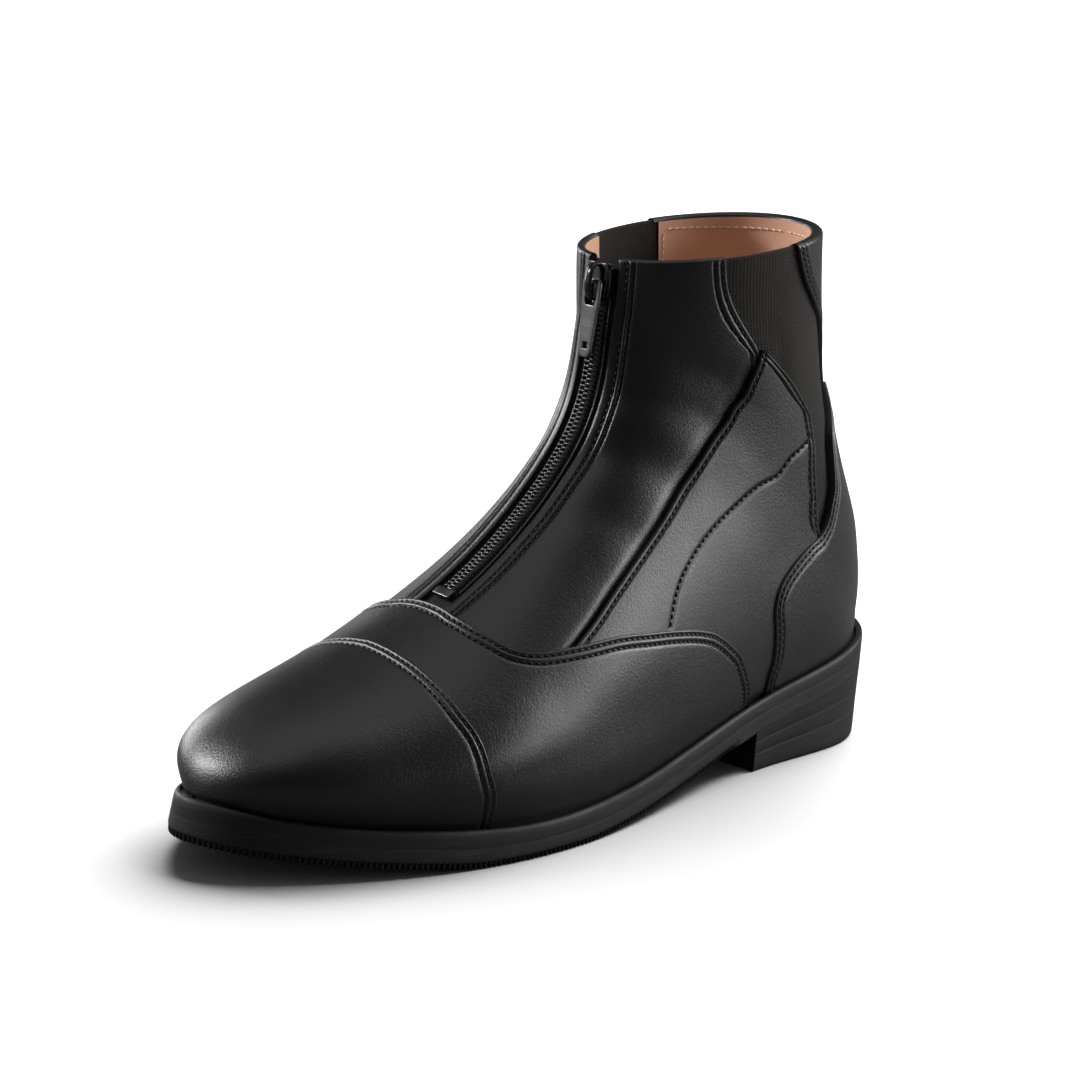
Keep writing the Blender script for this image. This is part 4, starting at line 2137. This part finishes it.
    def stop(self) -> None:
        """Metal stop at the lower end of the coil."""
        uv = np.array([[self.stop_at, 0.0], [self.stop_towards, 0.0]])
        place, after = self.last.at(uv)
        out = self.last.normal(uv)[0]
        ahead = unit(after - place)
        ways = np.stack([ahead, np.cross(out, ahead), out])
        corners = place + (BOX_CORNERS * np.array(self.stop_half)) @ ways + out * self.stop_out
        made = self._solid("zip_stop_metal", corners, BOX_FACES, 0.35)
        self.keep(made, ("zip_bottom_stop",), "metal", self.wardrobe.metal)

    def pull(self) -> Object:
        """Pull tab with a slot round the bail and a small window near its end.

        Returns:
            The piece, which rides on the pull's own body.
        """
        work = bmesh.new()
        verts = []
        for along, half, slot, _ in PULL_TAB:
            row = [(along, b, self.bar_out - self.tab_under) for b in (-half, -slot, slot, half)]
            placed = (self._placed(np.array(row)) - self.plan.origin) * MM
            verts.append([work.verts.new(tuple(p)) for p in placed])
        for above, below, line in zip(verts, verts[1:], PULL_TAB):
            for j in (0, 1, 2) if line[3] else (0, 2):
                work.faces.new((above[j], below[j], below[j + 1], above[j + 1]))
        mesh = bpy.data.meshes.new("zip_pull_tab")
        work.to_mesh(mesh)
        work.free()
        made = bpy.data.objects.new("zip_pull_tab", mesh)
        bpy.context.scene.collection.objects.link(made)
        solid = made.modifiers.new("thick", "SOLIDIFY")
        solid.thickness = self.tab_thick * MM
        solid.offset = 1.0
        self._apply(made, "thick")
        face_out(made)
        self._rounded(made, 0.28)
        made.data.materials.append(self.wardrobe.metal)
        return made

    def build(self) -> None:
        """Builds every piece of the zip but the pull."""
        self.tape()
        self.chain()
        self.stop()
        self.slider()


class Lit(Enum):
    """What a light falls on."""

    FLOOR = "INCLUDE"
    BOOT = "EXCLUDE"


@dataclass
class Studio:
    """Camera at the photo's angle, pale floor and soft light."""

    origin: Array
    camera_at: Triple = (855.7, 728.1, 325.0)
    camera_right: Triple = (-0.71497, 0.69810, 0.03848)
    camera_up: Triple = (-0.13860, -0.19546, 0.97087)
    camera_look: Triple = (-0.68528, -0.68880, -0.23651)
    lens: float = 116.5
    shift: Pair = (-0.0142, 0.0067)
    world: float = 0.08
    backdrop: float = 1.0
    floor_glow: float = 1.0
    floor_dim: float = 0.16
    floor_pale: float = 0.97
    reach: float = 6.0
    glow_span: Pair = (0.40, 2.0)
    # place, aim, size, watts, whether it lights the floor alone or the boot alone
    lights: tuple[tuple[Triple, Triple, Pair, float, Lit], ...] = (
        ((-0.72, -0.18, 1.18), (0.0, 0.0, 0.0), (1.50, 1.50), 40.0, Lit.FLOOR),
        ((-0.95, 0.75, 0.31), (0.0, 0.0, 0.05), (0.80, 0.50), 2.8, Lit.BOOT),
        ((-0.70, 0.98, 0.12), (0.0, 0.0, 0.06), (0.70, 0.20), 2.6, Lit.BOOT),
        ((-0.95, 0.60, 0.60), (0.0, 0.0, 0.06), (0.50, 0.40), 5.6, Lit.BOOT),
        ((-1.05, 0.45, 0.45), (0.0, 0.0, 0.06), (0.50, 0.40), 3.8, Lit.BOOT),
        ((-0.88, 0.20, 1.10), (0.0, 0.0, 0.06), (0.70, 0.60), 5.0, Lit.BOOT),
        ((0.80, -0.98, 0.72), (0.12, 0.0, 0.05), (0.30, 0.28), 16.5, Lit.BOOT),
        ((0.95, -0.82, 0.20), (0.05, 0.0, 0.13), (0.45, 0.32), 0.6, Lit.BOOT),
        ((-0.10, -1.20, 0.25), (0.10, 0.0, 0.05), (0.60, 0.40), 4.4, Lit.BOOT),
        ((-0.20, -0.30, 1.60), (0.0, 0.0, 0.08), (1.40, 1.20), 3.2, Lit.BOOT),
        ((0.55, 0.05, 1.30), (0.0, 0.0, 0.06), (0.60, 0.60), 1.2, Lit.BOOT),
    )

    def camera(self) -> None:
        """Places the camera with the photo's view and framing."""
        data = bpy.data.cameras.new("photo_view")
        data.lens = self.lens
        data.sensor_width = 36.0
        data.shift_x, data.shift_y = self.shift
        made = bpy.data.objects.new("photo_view", data)
        right, up, look = (Vector(v) for v in (self.camera_right, self.camera_up, self.camera_look))
        turn = Matrix((right, up, -look)).transposed().to_4x4()
        place = Vector((np.array(self.camera_at) - self.origin) * MM)
        made.matrix_world = Matrix.Translation(place) @ turn
        bpy.context.scene.collection.objects.link(made)
        bpy.context.scene.camera = made

    def floor(self) -> Object:
        """Lays a plain pale floor.

        Returns:
            The floor.
        """
        mesh = bpy.data.meshes.new("floor")
        corners = [(x * self.reach, y * self.reach, 0) for x, y in ((-1, -1), (1, -1), (1, 1), (-1, 1))]
        mesh.from_pydata(corners, [], [[0, 1, 2, 3]])
        made = bpy.data.objects.new("floor", mesh)
        paint = bpy.data.materials.new("pale_floor")
        paint.use_nodes = True
        tree = paint.node_tree
        shader = tree.nodes["Principled BSDF"]
        path = tree.nodes.new("ShaderNodeLightPath")
        dim = (self.floor_dim,) * 3
        pale = (self.floor_pale,) * 3
        tree.links.new(mixed(tree, path.outputs["Is Camera Ray"], dim, pale), shader.inputs["Base Color"])
        shader.inputs["Roughness"].default_value = 0.9
        shader.inputs["Specular IOR Level"].default_value = 0.1
        place = tree.nodes.new("ShaderNodeTexCoord")
        away = add_node(tree, "ShaderNodeVectorMath", {0: place.outputs["Object"]}, operation="LENGTH")
        rise = ramped(tree, away.outputs["Value"], self.glow_span, (0.0, self.floor_glow))
        shader.inputs["Emission Color"].default_value = (1.0, 1.0, 1.0, 1.0)
        glow = math_node(tree, "MULTIPLY", path.outputs["Is Camera Ray"], rise)
        tree.links.new(glow, shader.inputs["Emission Strength"])
        mesh.materials.append(paint)
        bpy.context.scene.collection.objects.link(made)
        return made

    def light(self, floor: Object) -> None:
        """Sets large soft lights and a white surround.

        Args:
            floor: The floor, which has a light of its own.
        """
        receivers = {}
        for lit in Lit:
            receivers[lit] = bpy.data.collections.new(f"light_{lit.name.lower()}")
            receivers[lit].objects.link(floor)
            receivers[lit].collection_objects[0].light_linking.link_state = lit.value
        for number, (place, aim, size, watts, lit) in enumerate(self.lights):
            data = bpy.data.lights.new(f"soft_{number}", "AREA")
            data.shape = "RECTANGLE"
            data.size, data.size_y = size
            data.energy = watts
            made = bpy.data.objects.new(f"soft_{number}", data)
            made.location = place
            made.rotation_euler = (Vector(aim) - Vector(place)).to_track_quat("-Z", "Y").to_euler()
            made.light_linking.receiver_collection = receivers[lit]
            bpy.context.scene.collection.objects.link(made)
        world = bpy.data.worlds.new("surround")
        world.use_nodes = True
        sky = world.node_tree.nodes["Background"]
        path = world.node_tree.nodes.new("ShaderNodeLightPath")
        shade = mixed(world.node_tree, path.outputs["Is Camera Ray"], (self.world,) * 3, (self.backdrop,) * 3)
        world.node_tree.links.new(shade, sky.inputs["Color"])
        bpy.context.scene.world = world
        bpy.context.scene.view_settings.view_transform = "Standard"

    def build(self) -> None:
        """Sets up the whole studio."""
        self.camera()
        self.light(self.floor())


def main() -> None:
    """Builds the boot's looks in order."""
    logging.basicConfig(level=logging.INFO, format="%(message)s")
    plan = SolePlan()
    last = Last(plan)
    wardrobe = Wardrobe()
    stitcher = Stitcher(last, plan.origin)
    upper = Upper(last, plan, wardrobe, stitcher)
    upper.build()
    sole = Sole(plan, wardrobe)
    sole.build()
    closure = Zip(last, plan, wardrobe)
    closure.build()
    pieces = upper.pieces + sole.pieces + closure.pieces
    pieces.append((stitcher.build(Thread.BLACK, "stitches_black", wardrobe.thread), (), "leather"))
    pieces.append((stitcher.build(Thread.TAN, "stitches_tan", wardrobe.tan_thread), (), "insole"))
    for made, nodes, slot in pieces:
        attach(made, BOOT_BODY)
        if nodes:
            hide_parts(*nodes)
        LOG.info("%s: %d faces", made.name, len(made.data.polygons))
    tab = closure.pull()
    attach(tab, PULL_BODY)
    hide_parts("zip_pull")
    LOG.info("%s: %d faces", tab.name, len(tab.data.polygons))
    Studio(plan.origin).build()


if __name__ == "__main__":
    main()
